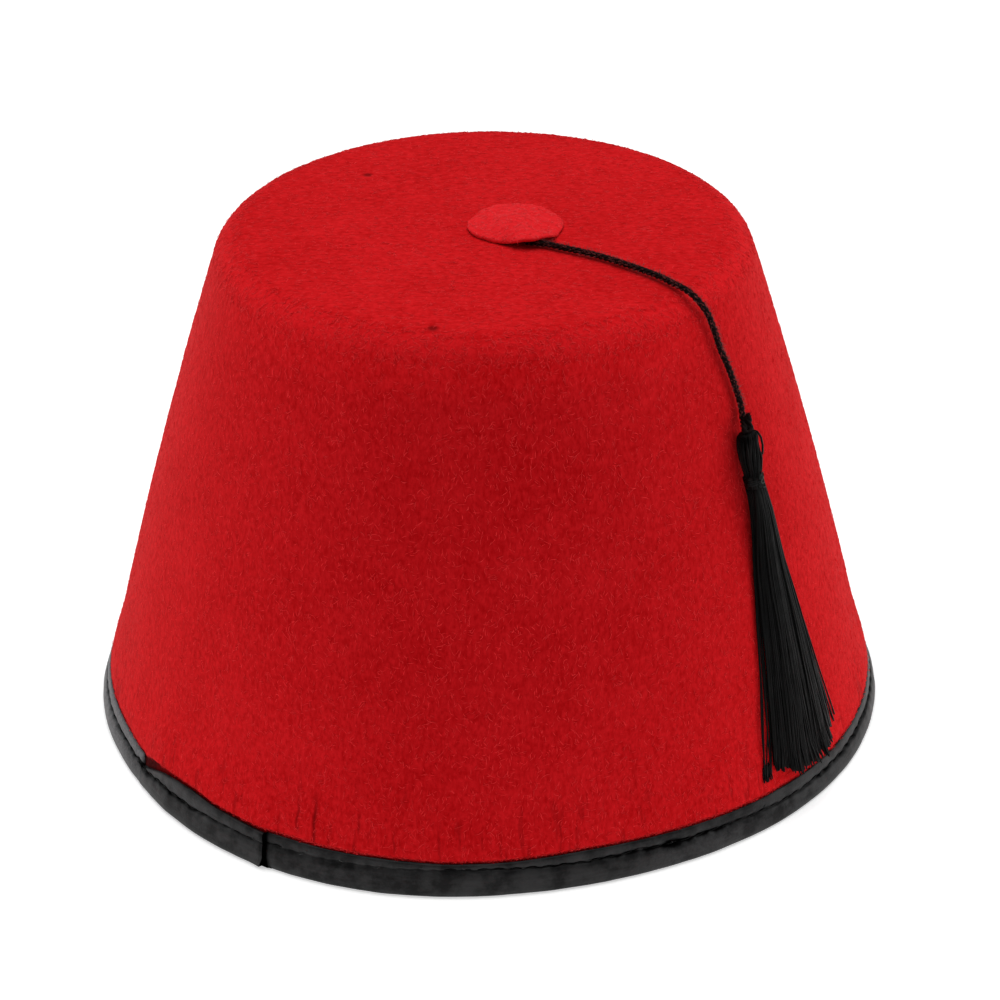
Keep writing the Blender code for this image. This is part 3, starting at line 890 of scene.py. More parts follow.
def shape_laps(binding, height):
    """Cuts back and curls the corner of the tape's end, and notches the strip at the lap's start.

    Gives the painted shadow at each point in the gap by the tape's end and in the notch.
    """
    points = get_points(binding)
    bearings = bearings_of(points)
    degrees = np.degrees(bearings)
    low = np.clip(1 - points[:, 2] / CORNER_HEIGHT, 0, 1)
    middle = sum(LAP_STEP) / 2
    near_step = np.clip(STEP_REACH - np.abs(degrees - middle), 0, 1)
    # Painted shadow in the gap by the tape's end.
    gap = (degrees > LAP_STEP[0] - 0.03) & (degrees < LAP_STEP[1] + 0.03)
    curl = np.clip(1 - (LAP_STEP[0] - degrees) / CURL_REACH, 0, 1) * (degrees < LAP_STEP[0] + 0.1)
    points = points + spokes_of(bearings) * (CORNER_CURL * curl ** 2 * (0.4 + 0.6 * low))[:, None]
    lean = STEP_SHIFT + STEP_LEAN * np.clip(1 - points[:, 2] / BINDING_TOP, 0, 1)
    lean -= CORNER_CUT * low ** 1.5 * (degrees < middle) + GAP_CLOSE * (degrees > middle)
    points = turned(points, lean * near_step)

    seam = seam_height(bearings, height)
    from_start = degrees - LAP_START[1]
    after = np.clip((degrees - LAP_START[0] - 0.1) / 0.3, 0, 1)
    notch = (1 - NOTCH_KEEP) * after * np.clip(1 - from_start / NOTCH_REACH, 0, 1) ** 1.4
    over = np.maximum(points[:, 2] - seam, 0)
    slant = np.clip(1 - over / (tape_top(bearings) - seam), 0, 1) * (points[:, 2] > seam - 0.0004)
    points = turned(points, NOTCH_SLANT * slant * np.clip(1.4 - np.abs(from_start) / 1.6, 0, 1))
    points[:, 2] -= over * notch
    # Painted shadow as a dark blot in the notch.
    notch_blot_shadow = np.exp(-((from_start - 0.2) / 0.8) ** 2 - ((points[:, 2] - seam - 0.0004) / 0.0009) ** 2)
    set_points(binding, points)
    return np.maximum(gap, notch_blot_shadow)


def sink_seam(binding, sizes, faces):
    """Sinks the seam into the tape's two faces and gathers the pucker. Gives the painted shade at each point.
    """
    points = get_points(binding)
    bearings = bearings_of(points)
    degrees = np.degrees(bearings)
    unevenness = 0.5 + 0.5 * np.sin(bearings * 37) * np.sin(bearings * 91 + 1.0)
    wide = sizes.seam_width * look_up(TAPE, "wide", degrees)
    strength = look_up(TAPE, "dark", degrees)
    level = points[:, 2] - seam_height(bearings, sizes.stitch_height)
    level = level + 0.00012 * np.sin(bearings * 143) + 0.00010 * np.sin(bearings * 61)
    line = np.exp(-(level / wide) ** 2) * strength
    beside = (degrees - PUCKER["bearing"]) / PUCKER["reach"]
    folds = 0.8 + 0.2 * np.sin(degrees * 9.0) * np.cos(level * 5200 + degrees)
    gather = np.exp(-beside ** 4 - (level / PUCKER["height"]) ** 2) * folds
    depth = np.maximum(sizes.seam_depth * line * (0.65 + 0.35 * unevenness), PUCKER["depth"] * gather)
    press_in(binding, depth * faces)
    # Painted shade along the sunk seam and in the pucker's folds.
    ragged = 0.75 + 0.5 * np.sin(bearings * 173 + 2.0) * np.sin(bearings * 59)
    narrow = np.exp(-(level / (wide * ragged)) ** 2)
    narrow *= strength * (1 - 0.7 * unevenness * (strength < 0.85))
    return np.clip(np.maximum(narrow, gather * 1.8), 0, 1) * faces


def tape_bare_and_highlight(binding, height):
    """How far each point of the tape takes the light uncoated look, with painted highlight and reflection on
    its puffs.
    """
    points = get_points(binding)
    bearings = bearings_of(points)
    degrees = np.degrees(bearings)
    behind = np.clip((degrees - BARE_BACK[0]) / (BARE_BACK[1] - BARE_BACK[0]), 0, 1)
    strip_left = np.clip((LAP_START[0] + 1 - degrees) / 1.5, 0, 1) + behind
    # Painted reflection on the puff at the left.
    puff_left = np.clip((LAP_START[0] + 5 - degrees) / LEFT_PUFF_FADE, 0, 1) + behind
    over_seam = np.clip((points[:, 2] - seam_height(bearings, height)) / 0.0004, 0, 1)
    bare_and_highlight = puff_left * LEFT_PUFF_HIGHLIGHT * (1 - over_seam) + (strip_left + BARE_FRONT) * over_seam
    # Painted highlight on the puff under the gathered seam.
    bare_and_highlight += PUCKER_PUFF_HIGHLIGHT * np.clip(1.5 - np.abs(degrees - PUCKER["bearing"] - 4) / 10, 0, 1) * (1 - over_seam)
    return np.clip(bare_and_highlight, 0, 1)


def thread_ends(tree, height):
    """Short bits of thread that lie on the tape by the seam."""
    threads = []
    for degrees, over, length, tilt in THREAD_ENDS:
        base = math.radians(degrees)
        tilt = math.radians(tilt)
        threads.append([])
        for step in np.linspace(-0.5, 0.5, 5):
            along = length * step
            bearing = base + along * math.cos(tilt) / 0.1
            level = seam_height(base, height) + over + along * math.sin(tilt)
            hit, normal = cast_ray(tree, bearing, level)
            threads[-1].append((hit + normal * (0.00012 - 0.0006 * step * step), normal))
    return as_threads(threads)


def seam_line(tree, height, facing, count=720):
    """Points and normals along the seam. facing is 1 on the outside and -1 on the inside."""
    bearings = np.linspace(-math.pi, math.pi, count, endpoint=False)
    return as_threads([[cast_ray(tree, b, seam_height(b, height), facing) for b in bearings]])


def seam_lengths(points):
    """Length along a closed line at each of its points, and in all."""
    steps = np.linalg.norm(np.roll(points, -1, axis=0) - points, axis=1)
    return np.concatenate([[0.0], np.cumsum(steps)])


def pull_in_stitches(binding, line, sizes, faces):
    """Draws the tape in where the stitches pass through it, so that it puffs between them."""
    lengths = seam_lengths(line)
    points = get_points(binding)
    bearings = bearings_of(points)
    own = bearings_of(line)
    order = np.argsort(own)
    along = np.interp(bearings, own[order], lengths[:-1][order])
    phase = np.cos(2 * math.pi * (along / lengths[-1] * round(lengths[-1] / sizes.stitch_pitch) - 0.5))
    level = (points[:, 2] - seam_height(bearings, sizes.stitch_height)) / 0.0022
    press_in(binding, sizes.pull * (0.5 + 0.5 * phase) * np.exp(-level ** 2) * faces)


def stitch_threads(line, normals, sizes):
    """Threads of the stitches that show, whose ends go down into the tape."""
    lengths = seam_lengths(line)
    count = round(lengths[-1] / sizes.stitch_pitch)
    share = np.linspace(-0.5, 0.5, 9)
    middles = (np.arange(count) + 0.5) / count * lengths[-1]
    places = (middles[:, None] + share[None, :] * sizes.stitch_length) % lengths[-1]
    paths, out = (
        np.stack([np.interp(places, lengths, np.append(column, column[0])) for column in values.T], axis=-1)
        for values in (line, normals)
    )
    out = unit(out)
    lift = sizes.stitch_thickness * (0.55 - 4.4 * share ** 2)
    paths = paths + out * lift[None, :, None] + np.array([0, 0, 1.0]) * (0.00022 * share)[None, :, None]
    degrees = np.degrees(bearings_of(paths[:, 4]))
    shown = look_up(TAPE, "dark", degrees) > STITCH_DARK
    shown &= np.abs(degrees - LAP_STEP[1] - STEP_SHIFT) > STITCH_CLEAR
    return paths[shown], out[shown]


class FEZ_OT_edge_binding(bpy.types.Operator):
    """Black tape folded round the rim, with its seam"""
    bl_idname = "fez.edge_binding"
    bl_label = "Edge binding"

    def execute(self, context):
        sizes = context.scene.fez_binding
        height = sizes.stitch_height
        binding = cad_copy("edge_binding", "binding")
        crease_loops(binding, LAP_STEP + LAP_START)
        smooth_faces(binding, 3)
        faces = on_the_faces(binding)
        settle_heights(binding, height)
        line, _ = seam_line(surface_of(binding), height, 1)
        pull_in_stitches(binding, line[0], sizes, faces)
        gap = shape_laps(binding, height)
        # The seam value is painted shade: the sunk seam, the pucker's folds, the gap by the tape's end and
        # the notch.
        store_values(binding, "seam", np.maximum(gap, sink_seam(binding, sizes, faces)))
        store_values(binding, "bare_and_highlight", tape_bare_and_highlight(binding, height))
        add_lumps(binding, "tape_wrinkles", 0.009, sizes.wrinkle)
        context.view_layer.update()
        tree = surface_of(binding)
        sides = []
        for facing in (1, -1):
            line, out = seam_line(tree, height, facing)
            sides.append(stitch_threads(line[0], out[0], sizes))
        threads = [np.concatenate(both) for both in zip(*sides)]
        stitches = make_tubes("binding_stitches", threads, sizes.stitch_thickness / 2, 4)
        dress(binding, tape_material("black_tape_coated", sizes.tape), "black_tape", "edge_binding")
        dress(stitches, thread_material("black_stitch_thread", sizes.thread, 0.5), "black_cord")
        ends = make_tubes("thread_ends", thread_ends(tree, height), 0.00013, 6)
        dress(ends, thread_material("grey_thread_end", (0.035, 0.036, 0.036), 0.6, lighter=2.0), "black_cord")
        return {"FINISHED"}


# Crown disc


class FezDiscSettings(bpy.types.PropertyGroup):
    """Colours of the felt disc on the crown."""
    light: colour_setting("Light red", "Colour of the disc's raised wool", (0.83, 0.019, 0.026))
    deep: colour_setting("Deep red", "Colour between the disc's clumps", (0.66, 0.009, 0.013))
    fibre: colour_setting("Fibre", "Colour of the disc's palest loose fibres", (0.90, 0.075, 0.082))
    lump_depth: length_setting("Lump depth", "How far the disc's lumps stand in and out", 0.0002)
    fibre_count: count_setting("Fibres", "Fibres on the disc", 700)


# Where the disc's edge is trimmed or stands out, as shares of its distance from the disc's middle
DISC_MIDDLE = np.array((0.0070, -0.0004))
DISC_TRIM = table(
    "bearing share",
    (-180, 1.00), (-155, 0.97), (-135, 0.88), (-115, 0.86), (-100, 0.90), (-88, 1.02), (-70, 1.06),
    (-55, 0.99), (-40, 0.94), (-20, 0.96), (20, 1.00), (60, 1.07), (110, 1.08), (150, 1.03), (180, 1.00),
)

# How far the disc is pressed into the nap
DISC_PRESS = 0.0003


def trim_disc(disc):
    """Takes the disc's edge in and out as it was cut by hand, and presses it into the nap."""
    points = get_points(disc)
    from_middle = points[:, :2] - DISC_MIDDLE
    bearings = np.degrees(np.arctan2(from_middle[:, 1], from_middle[:, 0]))
    points[:, :2] = DISC_MIDDLE + from_middle * look_up(DISC_TRIM, "share", bearings)[:, None]
    points[:, 2] -= DISC_PRESS
    set_points(disc, points)


class FEZ_OT_crown_disc(bpy.types.Operator):
    """Hand-cut felt disc over the end of the cord"""
    bl_idname = "fez.crown_disc"
    bl_label = "Crown disc"

    def execute(self, context):
        sizes = context.scene.fez_disc
        felt = context.scene.fez_felt
        disc = cad_copy("crown_disc", "disc")
        smooth_faces(disc, 2)
        trim_disc(disc)
        add_lumps(disc, "disc_lumps", 0.003, sizes.lump_depth)
        dress(disc, felt_material("disc_felt_wool", sizes.light, sizes.deep), "disc_felt", "crown_disc")
        rng = np.random.default_rng(11)
        spots, outward = outer_spots(disc, DISC_LOW.z, math.inf, sizes.fibre_count, rng)
        nap = make_fibres("disc_nap", spots, outward, felt.fibre_length * 0.8, felt.fibre_thickness,
                          felt.fibre_lift, 1.2, rng)
        dress(nap, fibre_material("disc_felt_fibre", sizes.fibre, sizes.light), "disc_felt")
        return {"FINISHED"}


# Cord and knot


class FezCordSettings(bpy.types.PropertyGroup):
    """Sizes and colour of the twisted cord."""
    diameter: length_setting("Diameter", "Thickness over all plies", 0.0016)
    twist: length_setting("Twist", "Length of one full turn of the plies", 0.0042)
    colour: colour_setting("Cord", "Colour of the cord", (0.0050, 0.0018, 0.0018))
    fuzz: colour_setting("Fuzz", "Colour of the loose fibres round the cord", (0.42, 0.11, 0.11))
    fuzz_count: count_setting("Fuzz fibres", "Loose fibres round it", 900)


# Cord's route from under the disc, over the crown's edge, to the tassel's head, as in the part
CORD_ROUTE = [
    (0.0068, -0.0012, 0.1374), (0.0066, -0.0042, 0.1374), (0.0074, -0.0078, 0.1374),
    (0.0102, -0.0107, 0.1374), (0.0147, -0.0122, 0.1374), (0.0187, -0.0144, 0.1374),
    (0.0228, -0.0165, 0.1374), (0.0268, -0.0190, 0.1374), (0.0315, -0.0225, 0.1374),
    (0.0363, -0.0266, 0.1374), (0.0407, -0.0310, 0.1375), (0.0430, -0.0339, 0.1375),
    (0.0448, -0.0361, 0.1375), (0.0464, -0.0376, 0.1372), (0.0480, -0.0386, 0.1363),
    (0.0494, -0.0391, 0.1349), (0.0506, -0.0393, 0.1333), (0.0517, -0.0392, 0.1314),
    (0.0534, -0.0390, 0.1267), (0.0548, -0.0387, 0.1224), (0.0569, -0.0383, 0.1173),
    (0.0585, -0.0381, 0.1127), (0.0598, -0.0382, 0.1087), (0.0604, -0.0386, 0.1060),
    (0.0606, -0.0391, 0.1043),
]

# Plies of the cord, with their distance from its middle and their radius in shares of its diameter,
# stations along one turn of them, and points round each
PLIES = 3
PLY_OFFSET = 0.22
PLY_RADIUS = 0.27
PLY_STATIONS = 14
PLY_SIDES = 14

# Knot on the tassel's head: the cord's last bit down into it, the tail that stands up beside the
# cord, and the turn that ties them, as places across and down from the middle of the head's top
END_ROWS = [(-0.0010, -0.0012), (-0.0006, 0.0003)]
TAIL_ROWS = [(0.0007, 0.0008), (0.0007, -0.0003), (0.0008, -0.0014), (0.0010, -0.0026), (0.0013, -0.0036)]
TAIL_LIFT = 0.0034
TAIL_SHARE = 1.15
KNOT_TURN = {"across": 0.0003, "down": -0.0006, "lift": 0.0032, "half_width": 0.0012, "half_depth": 0.0009}
KNOT_THREAD = 0.0010
FRAY_COUNT = 26

# Where the tassel hangs: its bearing, in degrees, and the level of its head's top, as in the part
TASSEL_BEARING = -35.4
TASSEL_TOP = 0.1014


def smooth_route(points, step):
    """Points at even steps along the smooth curve through the given ones."""
    ends = [2 * points[0] - points[1], *points, 2 * points[-1] - points[-2]]
    fine = []
    for before, start, end, after in zip(ends, ends[1:], ends[2:], ends[3:]):
        for t in np.arange(16) / 16:
            fine.append(0.5 * (2 * start + (end - before) * t
                               + (2 * before - 5 * start + 4 * end - after) * t ** 2
                               + (3 * start - before - 3 * end + after) * t ** 3))
    fine = np.array([*fine, points[-1]])
    lengths = np.concatenate([[0.0], np.cumsum(np.linalg.norm(np.diff(fine, axis=0), axis=1))])
    places = np.linspace(0, lengths[-1], round(lengths[-1] / step) + 1)
    return np.stack([np.interp(places, lengths, fine[:, k]) for k in range(3)], axis=-1), lengths[-1]


def twist_cord(name, route, diameter, twist, shade):
    """Three plies wound round a route, each ply itself of five twisted yarns."""
    tangents = unit(np.gradient(route, axis=0))
    across = unit(np.cross(tangents, outward_from_hat(route)))
    upward = np.cross(across, tangents)
    step = twist / PLY_STATIONS
    turn = np.arange(len(route)) * step / twist * 2 * math.pi
    around = np.arange(PLY_SIDES) * 2 * math.pi / PLY_SIDES
    radius = diameter * PLY_RADIUS * (1 + 0.10 * np.cos(5 * (around[None, :] + 1.6 * turn[:, None])))
    plies = []
    for start in np.arange(PLIES) * 2 * math.pi / PLIES:
        wound = turn + start
        spoke = across * np.cos(wound)[:, None] + upward * np.sin(wound)[:, None]
        centre = route + spoke * diameter * PLY_OFFSET
        plies.append(centre[:, None, :]
                     + across[:, None, :] * (radius * np.cos(around))[:, :, None]
                     + upward[:, None, :] * (radius * np.sin(around))[:, :, None])
    cord = mesh_piece(name, np.stack(plies).reshape(-1, 3), tube_faces(PLIES, len(route), PLY_SIDES))
    store_values(cord, "shade", np.full(len(cord.data.vertices), shade))
    return cord


def outward_from_hat(points):
    """Direction out of the hat at points near its surface."""
    tree = hat_surface()
    normals = np.array([tree.find_nearest(Vector(point))[1] for point in points])
    for _ in range(6):
        normals[1:-1] = (normals[:-2] + normals[1:-1] + normals[2:]) / 3
    return unit(normals)


def hat_place():
    """Function that turns across, down and lift on the hat's side into a point and its normal."""
    tree = hat_surface()
    base = math.radians(TASSEL_BEARING)
    run = cast_ray(tree, base, TASSEL_TOP)[0] - cast_ray(tree, base, TASSEL_TOP - SKIRT_LENGTH)[0]
    slope = run.z / run.length

    def place(across, down, lift):
        level = TASSEL_TOP - down * slope
        radius = (cast_ray(tree, base, level)[0] - axis_point(level)).length
        point = cast_ray(tree, base + across / radius, level)[0]
        normal = tree.find_nearest(point)[1]
        return np.array(point + normal * lift), np.array(normal)

    return place


def knot_turn(place):
    """Turn of cord that ties the cord and its tail together on the head's top."""
    thread = []
    for turn in np.linspace(-0.2 * math.pi, 2.3 * math.pi, 40):
        across = KNOT_TURN["across"] + KNOT_TURN["half_width"] * math.cos(turn)
        down = KNOT_TURN["down"] + 0.00035 * turn / math.pi - 0.0003 * math.cos(turn)
        lift = KNOT_TURN["lift"] + KNOT_TURN["half_depth"] * math.sin(turn)
        thread.append(place(across, down, lift))
    return as_threads([thread])


def fray_threads(tip, run, out, rng):
    """Yarn ends that spread at the tail's tip."""
    side = np.cross(run, out)
    threads = []
    for _ in range(FRAY_COUNT):
        turn = rng.uniform(0, 2 * math.pi)
        away = side * math.cos(turn) + out * math.sin(turn)
        start = tip + away * rng.uniform(0.0, 0.0005) - run * 0.0004
        reach = rng.uniform(0.0006, 0.0012)
        bend = start + run * reach * 0.6 + away * 0.00012
        threads.append([(start, out), (bend, out), (start + run * reach + away * 0.0004, out)])
    return as_threads(threads)


def add_fuzz(route, sizes, rng):
    """Loose fibres that stand off the cord's sides."""
    count = sizes.fuzz_count
    spots = rng.integers(8, len(route) - 1, count)
    along = unit(np.gradient(route, axis=0))[spots]
    up = outward_from_hat(route)[spots]
    turn = rng.uniform(-0.3, math.pi + 0.3, count)[:, None]
    spoke = np.cross(along, up) * np.cos(turn) + up * np.sin(turn)
    run = unit(spoke + along * rng.uniform(-1.6, 1.6, (count, 1)))
    reach = rng.uniform(0.0004, 0.0011, (count, 1))
    start = route[spots] + spoke * sizes.diameter * 0.46
    paths = np.stack([start, start + run * reach * 0.5, start + run * reach + spoke * 0.0001], axis=1)
    radii = np.array([0.00004, 0.00004, 0.00002])
    fuzz = make_tubes("cord_fuzz", (paths, np.repeat(up[:, None], 3, axis=1)), radii, 4)
    return dress(fuzz, fibre_material("cord_fuzz_fibre", sizes.fuzz, shaded(sizes.fuzz, 0.3)), "black_cord")


class FEZ_OT_tassel_cord(bpy.types.Operator):
    """Twisted cord from under the disc to the tassel, with the knot and its tail"""
    bl_idname = "fez.tassel_cord"
    bl_label = "Cord and knot"

    def execute(self, context):
        sizes = context.scene.fez_cord
        step = sizes.twist / PLY_STATIONS
        place = hat_place()
        route, length = smooth_route([np.array(p) for p in CORD_ROUTE], step)
        cord = twist_cord("cord", route, sizes.diameter, sizes.twist, 0.6)
        finish = thread_material("black_cord_thread", sizes.colour, 0.6)
        dress(cord, finish, "black_cord", "tassel_cord")

        tail, _ = smooth_route([place(*row, TAIL_LIFT)[0] for row in TAIL_ROWS], step)
        knot = twist_cord("knot", tail, sizes.diameter * TAIL_SHARE, sizes.twist, 0.4)
        down_in = [place(*row, TAIL_LIFT)[0] for row in END_ROWS]
        end, _ = smooth_route([route[-3], route[-1], *down_in], step)
        cord_end = twist_cord("cord_end", end, sizes.diameter, sizes.twist, 0.6)
        turn = make_tubes("knot_turn", knot_turn(place), KNOT_THREAD / 2, 10)
        rng = np.random.default_rng(21)
        frays = fray_threads(tail[-1], unit(tail[-1] - tail[-3]), outward_from_hat(tail)[-1], rng)
        fray = make_tubes("tail_fray", frays, 0.00009, 4)
        for piece in (knot, cord_end, turn, fray):
            dress(piece, finish, "black_cord", "cord_knot")
        fuzz = add_fuzz(route, sizes, rng)
        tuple(CORD_ROUTE[0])
        return {"FINISHED"}


# Tassel


class FezTasselSettings(bpy.types.PropertyGroup):
    """Sizes and colour of the tassel's threads."""
    colour: colour_setting("Thread", "Colour of the tassel's threads", (0.0014, 0.0014, 0.0014))
    strand: length_setting("Strand", "Thickness of a thread of the skirt", 0.00040)
    strand_count: count_setting("Strands", "Threads in the skirt", 470)
    head_threads: count_setting("Head threads", "Threads round the head", 46)
    wrap_turns: count_setting("Wrap turns", "Turns of thread round the neck", 5)


# Tassel's settled sizes, as in the part
HEAD_LENGTH = 0.0100
HEAD_RADIUS = 0.0030
NECK_LENGTH = 0.0030
NECK_RADIUS = 0.0019
NECK_ACROSS = -0.0010
SKIRT_LENGTH = 0.0785
SKIRT_HALF_WIDTH = 0.0118
SKIRT_ACROSS = 0.0053
SKIRT_BOW = 0.6

# Clumps that the skirt's threads keep to, and how far the tape stands off the felt
CLUMPS = 40
TAPE_PROUD = 0.0015

# Outline of the head down through the neck, in shares of its length and radius
HEAD = table(
    "down radius",
    (0.00, 0.30), (0.03, 0.72), (0.11, 0.96), (0.36, 1.04), (0.66, 0.96), (0.90, 0.82), (1.03, 0.74),
    (1.36, 0.72),
)

# Thickness of a head's thread and of the one round the neck, over the skirt's thread and in metres
HEAD_THREAD = 1.2
WRAP_THREAD = 0.0004

# Loop of thread on the head's right shoulder: its place round the head, its length as a share of the
# head's, how far it stands out along it, in head radii, and how far the threads under it lie in
LOOP_TURN = math.radians(50)
LOOP_LENGTH = 0.64
LOOP_BULGE = table(
    "along out",
    (0.0, 0.25), (0.12, 0.76), (0.35, 0.98), (0.65, 1.02), (0.9, 0.98), (1.0, 0.9),
)
LOOP_HOLLOW = 0.30

# Turns of grey thread on the neck's right side: how far down the neck, and degrees round it
GREY_TURNS = [(0.0008, 74), (0.0020, 64), (0.0032, 56)]

# Where the skirt's tips end: place across in half widths, length in shares of the skirt's
TIPS = table(
    "across length",
    (-1.00, 0.960), (-0.80, 0.975), (-0.50, 0.990), (0.00, 1.004), (0.50, 1.006), (0.80, 0.985),
    (1.00, 0.945),
)

# Threads that left the skirt: how many, their place across at the tip and its spread, their length,
# their place across where they leave the neck, and the share of their length that they start at
STRAYS = [
    (2, -1.34, 0.02, 0.975, -0.9, 0.0), (2, -1.13, 0.02, 0.972, -0.8, 0.0),
    (1, -1.25, 0.02, 0.978, -0.7, 0.0), (14, -1.24, 0.10, 0.984, -0.7, 0.95),
    (4, -0.97, 0.04, 0.950, -0.6, 0.0), (2, 1.18, 0.02, 0.955, 0.9, 0.0),
    (1, 1.26, 0.02, 0.940, 0.8, 0.0), (2, 1.06, 0.03, 0.965, 0.7, 0.0),
]


def head_middle(place, down):
    """Point on the head's leaning axis, with the hat's normal there."""
    lean = NECK_ACROSS * min(down / (HEAD_LENGTH + NECK_LENGTH), 1.0)
    return *place(lean, down, HEAD_RADIUS + CLEARANCE), lean


def round_head(place, down, turn, radius):
    """Point round the head's leaning axis, and the direction from the axis to it."""
    middle, normal, lean = head_middle(place, down)
    right, _ = place(lean + 0.001, down, HEAD_RADIUS + CLEARANCE)
    spoke = unit(right - middle) * math.cos(turn) + normal * math.sin(turn)
    return middle + spoke * radius, spoke


def head_hollow(turn, down):
    """How far the head's threads lie in under the loop on its right shoulder, as a share."""
    beside = max(0.0, math.cos(turn - LOOP_TURN))
    return LOOP_HOLLOW * beside ** 2 * math.sin(math.pi * min(max(down / LOOP_LENGTH, 0.0), 1.0))


def head_threads(place, thickness, count, rng):
    """Threads that come out of the middle of the head's top and run down round it through the neck."""
    downs = np.interp(np.linspace(0, 1, 18) ** 1.3, np.linspace(0, 1, len(HEAD["down"])), HEAD["down"])
    threads = []
    for i in range(count):
        base = 2 * math.pi * (i + rng.uniform(-0.35, 0.35)) / count
        sway = rng.normal(0.0, 0.16)
        proud = rng.normal(0.0, 0.00010)
        threads.append([])
        for down in downs:
            radius = look_up(HEAD, "radius", down) * HEAD_RADIUS - thickness / 2
            radius += proud * min(down * 6, 1.0)
            turn = base + sway * math.sin(2.4 * down)
            radius *= 1 - head_hollow(turn, down)
            threads[-1].append(round_head(place, down * HEAD_LENGTH, turn, radius))
    return as_threads(threads)


def head_core(place, thickness):
    """Packed threads inside the head and neck, as one dark body under the outer ones."""
    downs = np.linspace(0.02, 1.45, 20)
    threads = as_threads([[head_middle(place, down * HEAD_LENGTH)[:2] for down in downs]])
    return threads, look_up(HEAD, "radius", downs) * HEAD_RADIUS * 0.78 - thickness


def head_loop(place):
    """Thread that stands off the head's right shoulder in a loop."""
    return as_threads([[
        round_head(place, HEAD_LENGTH * (-0.03 + LOOP_LENGTH * t), LOOP_TURN,
                   HEAD_RADIUS * look_up(LOOP_BULGE, "out", t))
        for t in np.linspace(0, 1, 18)
    ]])


def neck_wrap(place, turns):
    """Thread wound round the neck."""
    stations = turns * 24 + 1
    thread = []
    for i in range(stations):
        down = HEAD_LENGTH + CLEARANCE + WRAP_THREAD / 2
        down += (NECK_LENGTH - 2 * CLEARANCE - WRAP_THREAD) * i / (stations - 1)
        radius = NECK_RADIUS + WRAP_THREAD / 2 + 0.00005 * math.sin(i * 0.9)
        thread.append(round_head(place, down + 0.00012 * math.sin(i * 0.31), 2 * math.pi * i / 24, radius))
    return as_threads([thread])


def grey_turn_threads(place):
    """Small turns of grey thread on the neck's right side."""
    threads = []
    for level, start in GREY_TURNS:
        threads.append([])
        for t in np.linspace(0, 1, 14):
            turn = math.radians(start + 32 * math.sin(2 * math.pi * t))
            down = HEAD_LENGTH + level + 0.0007 * math.cos(2 * math.pi * t)
            threads[-1].append(round_head(place, down, turn, NECK_RADIUS + 0.00062))
    return as_threads(threads)


def strand(place, spot, thickness, rng):
    """One thread of the skirt, from under the wound thread to its tip on the hat's side.

    spot holds where it ends and leaves the neck, in shares of the skirt's half width and of the neck,
    its layer from 0 on the felt to 1 outside, its length, and the share of it where it starts.
    """
    tip, neck, layer, length, start = spot
    bow = rng.normal(0.0, 0.0005)
    waves = rng.normal(0.0, (0.00035, 0.00014))
    phases = rng.uniform(0, 2 * math.pi, 2)
    thread = []
    for t in np.linspace(start, 1, 16):
        along = max(0.0, (t - 0.03) / 0.97)
        middle = NECK_ACROSS + (SKIRT_ACROSS - NECK_ACROSS) * along ** SKIRT_BOW
        across = middle + neck * NECK_RADIUS * 0.86 * (1 - along) ** 1.25 + tip * SKIRT_HALF_WIDTH * along
        across += bow * math.sin(math.pi * along)
        wave = waves[0] * math.sin(phases[0] + 5 * along) + waves[1] * math.sin(phases[1] + 17 * along)
        across += wave * along
        down = HEAD_LENGTH + 0.0006 + (NECK_LENGTH + SKIRT_LENGTH * length) * t
        settle = min(1.0, 3 * along)
        settle = settle * settle * (3 - 2 * settle)
        top = HEAD_RADIUS + CLEARANCE + NECK_RADIUS * (2 * layer - 1) * 0.85
        body = 0.0036 * (1 - 0.45 * along) * (1 - 0.55 * min(1.0, abs(tip)) ** 2)
        lying = CLEARANCE + thickness / 2 + layer * body
        point, normal = place(across, down, top + settle * (lying - top))
        over_tape = np.clip((BINDING_TOP + 0.004 - point[2]) / 0.004, 0.0, 1.0)
        thread.append((point + normal * TAPE_PROUD * over_tape, normal))
    return thread


def skirt_spots(count, rng):
    """Where each thread of the skirt runs: in clumps, some of them crossing to the next."""
    clumps = np.linspace(-0.97, 0.97, CLUMPS) + rng.uniform(-0.035, 0.035, CLUMPS)
    extra = rng.normal(0.0, 0.010, CLUMPS)
    spots = []
    for _ in range(count):
        clump = rng.integers(CLUMPS)
        layer = rng.random() ** 0.8
        across = np.clip(clumps[clump] + rng.normal(0.0, 0.040), -1.0, 1.0)
        neck = np.clip(across + rng.normal(0.0, 0.22), -1.0, 1.0)
        length = look_up(TIPS, "length", across) + extra[clump] - abs(rng.normal(0.0, 0.010))
        spots.append((across, neck, layer, length, 0.0))
    for number, across, apart, length, neck, start in STRAYS:
        for _ in range(number):
            tip = across + rng.uniform(-1, 1) * apart
            layer = rng.uniform(0.05, 0.3)
            spots.append((tip, neck, layer, length - abs(rng.normal(0.0, 0.006)), start))
    return spots


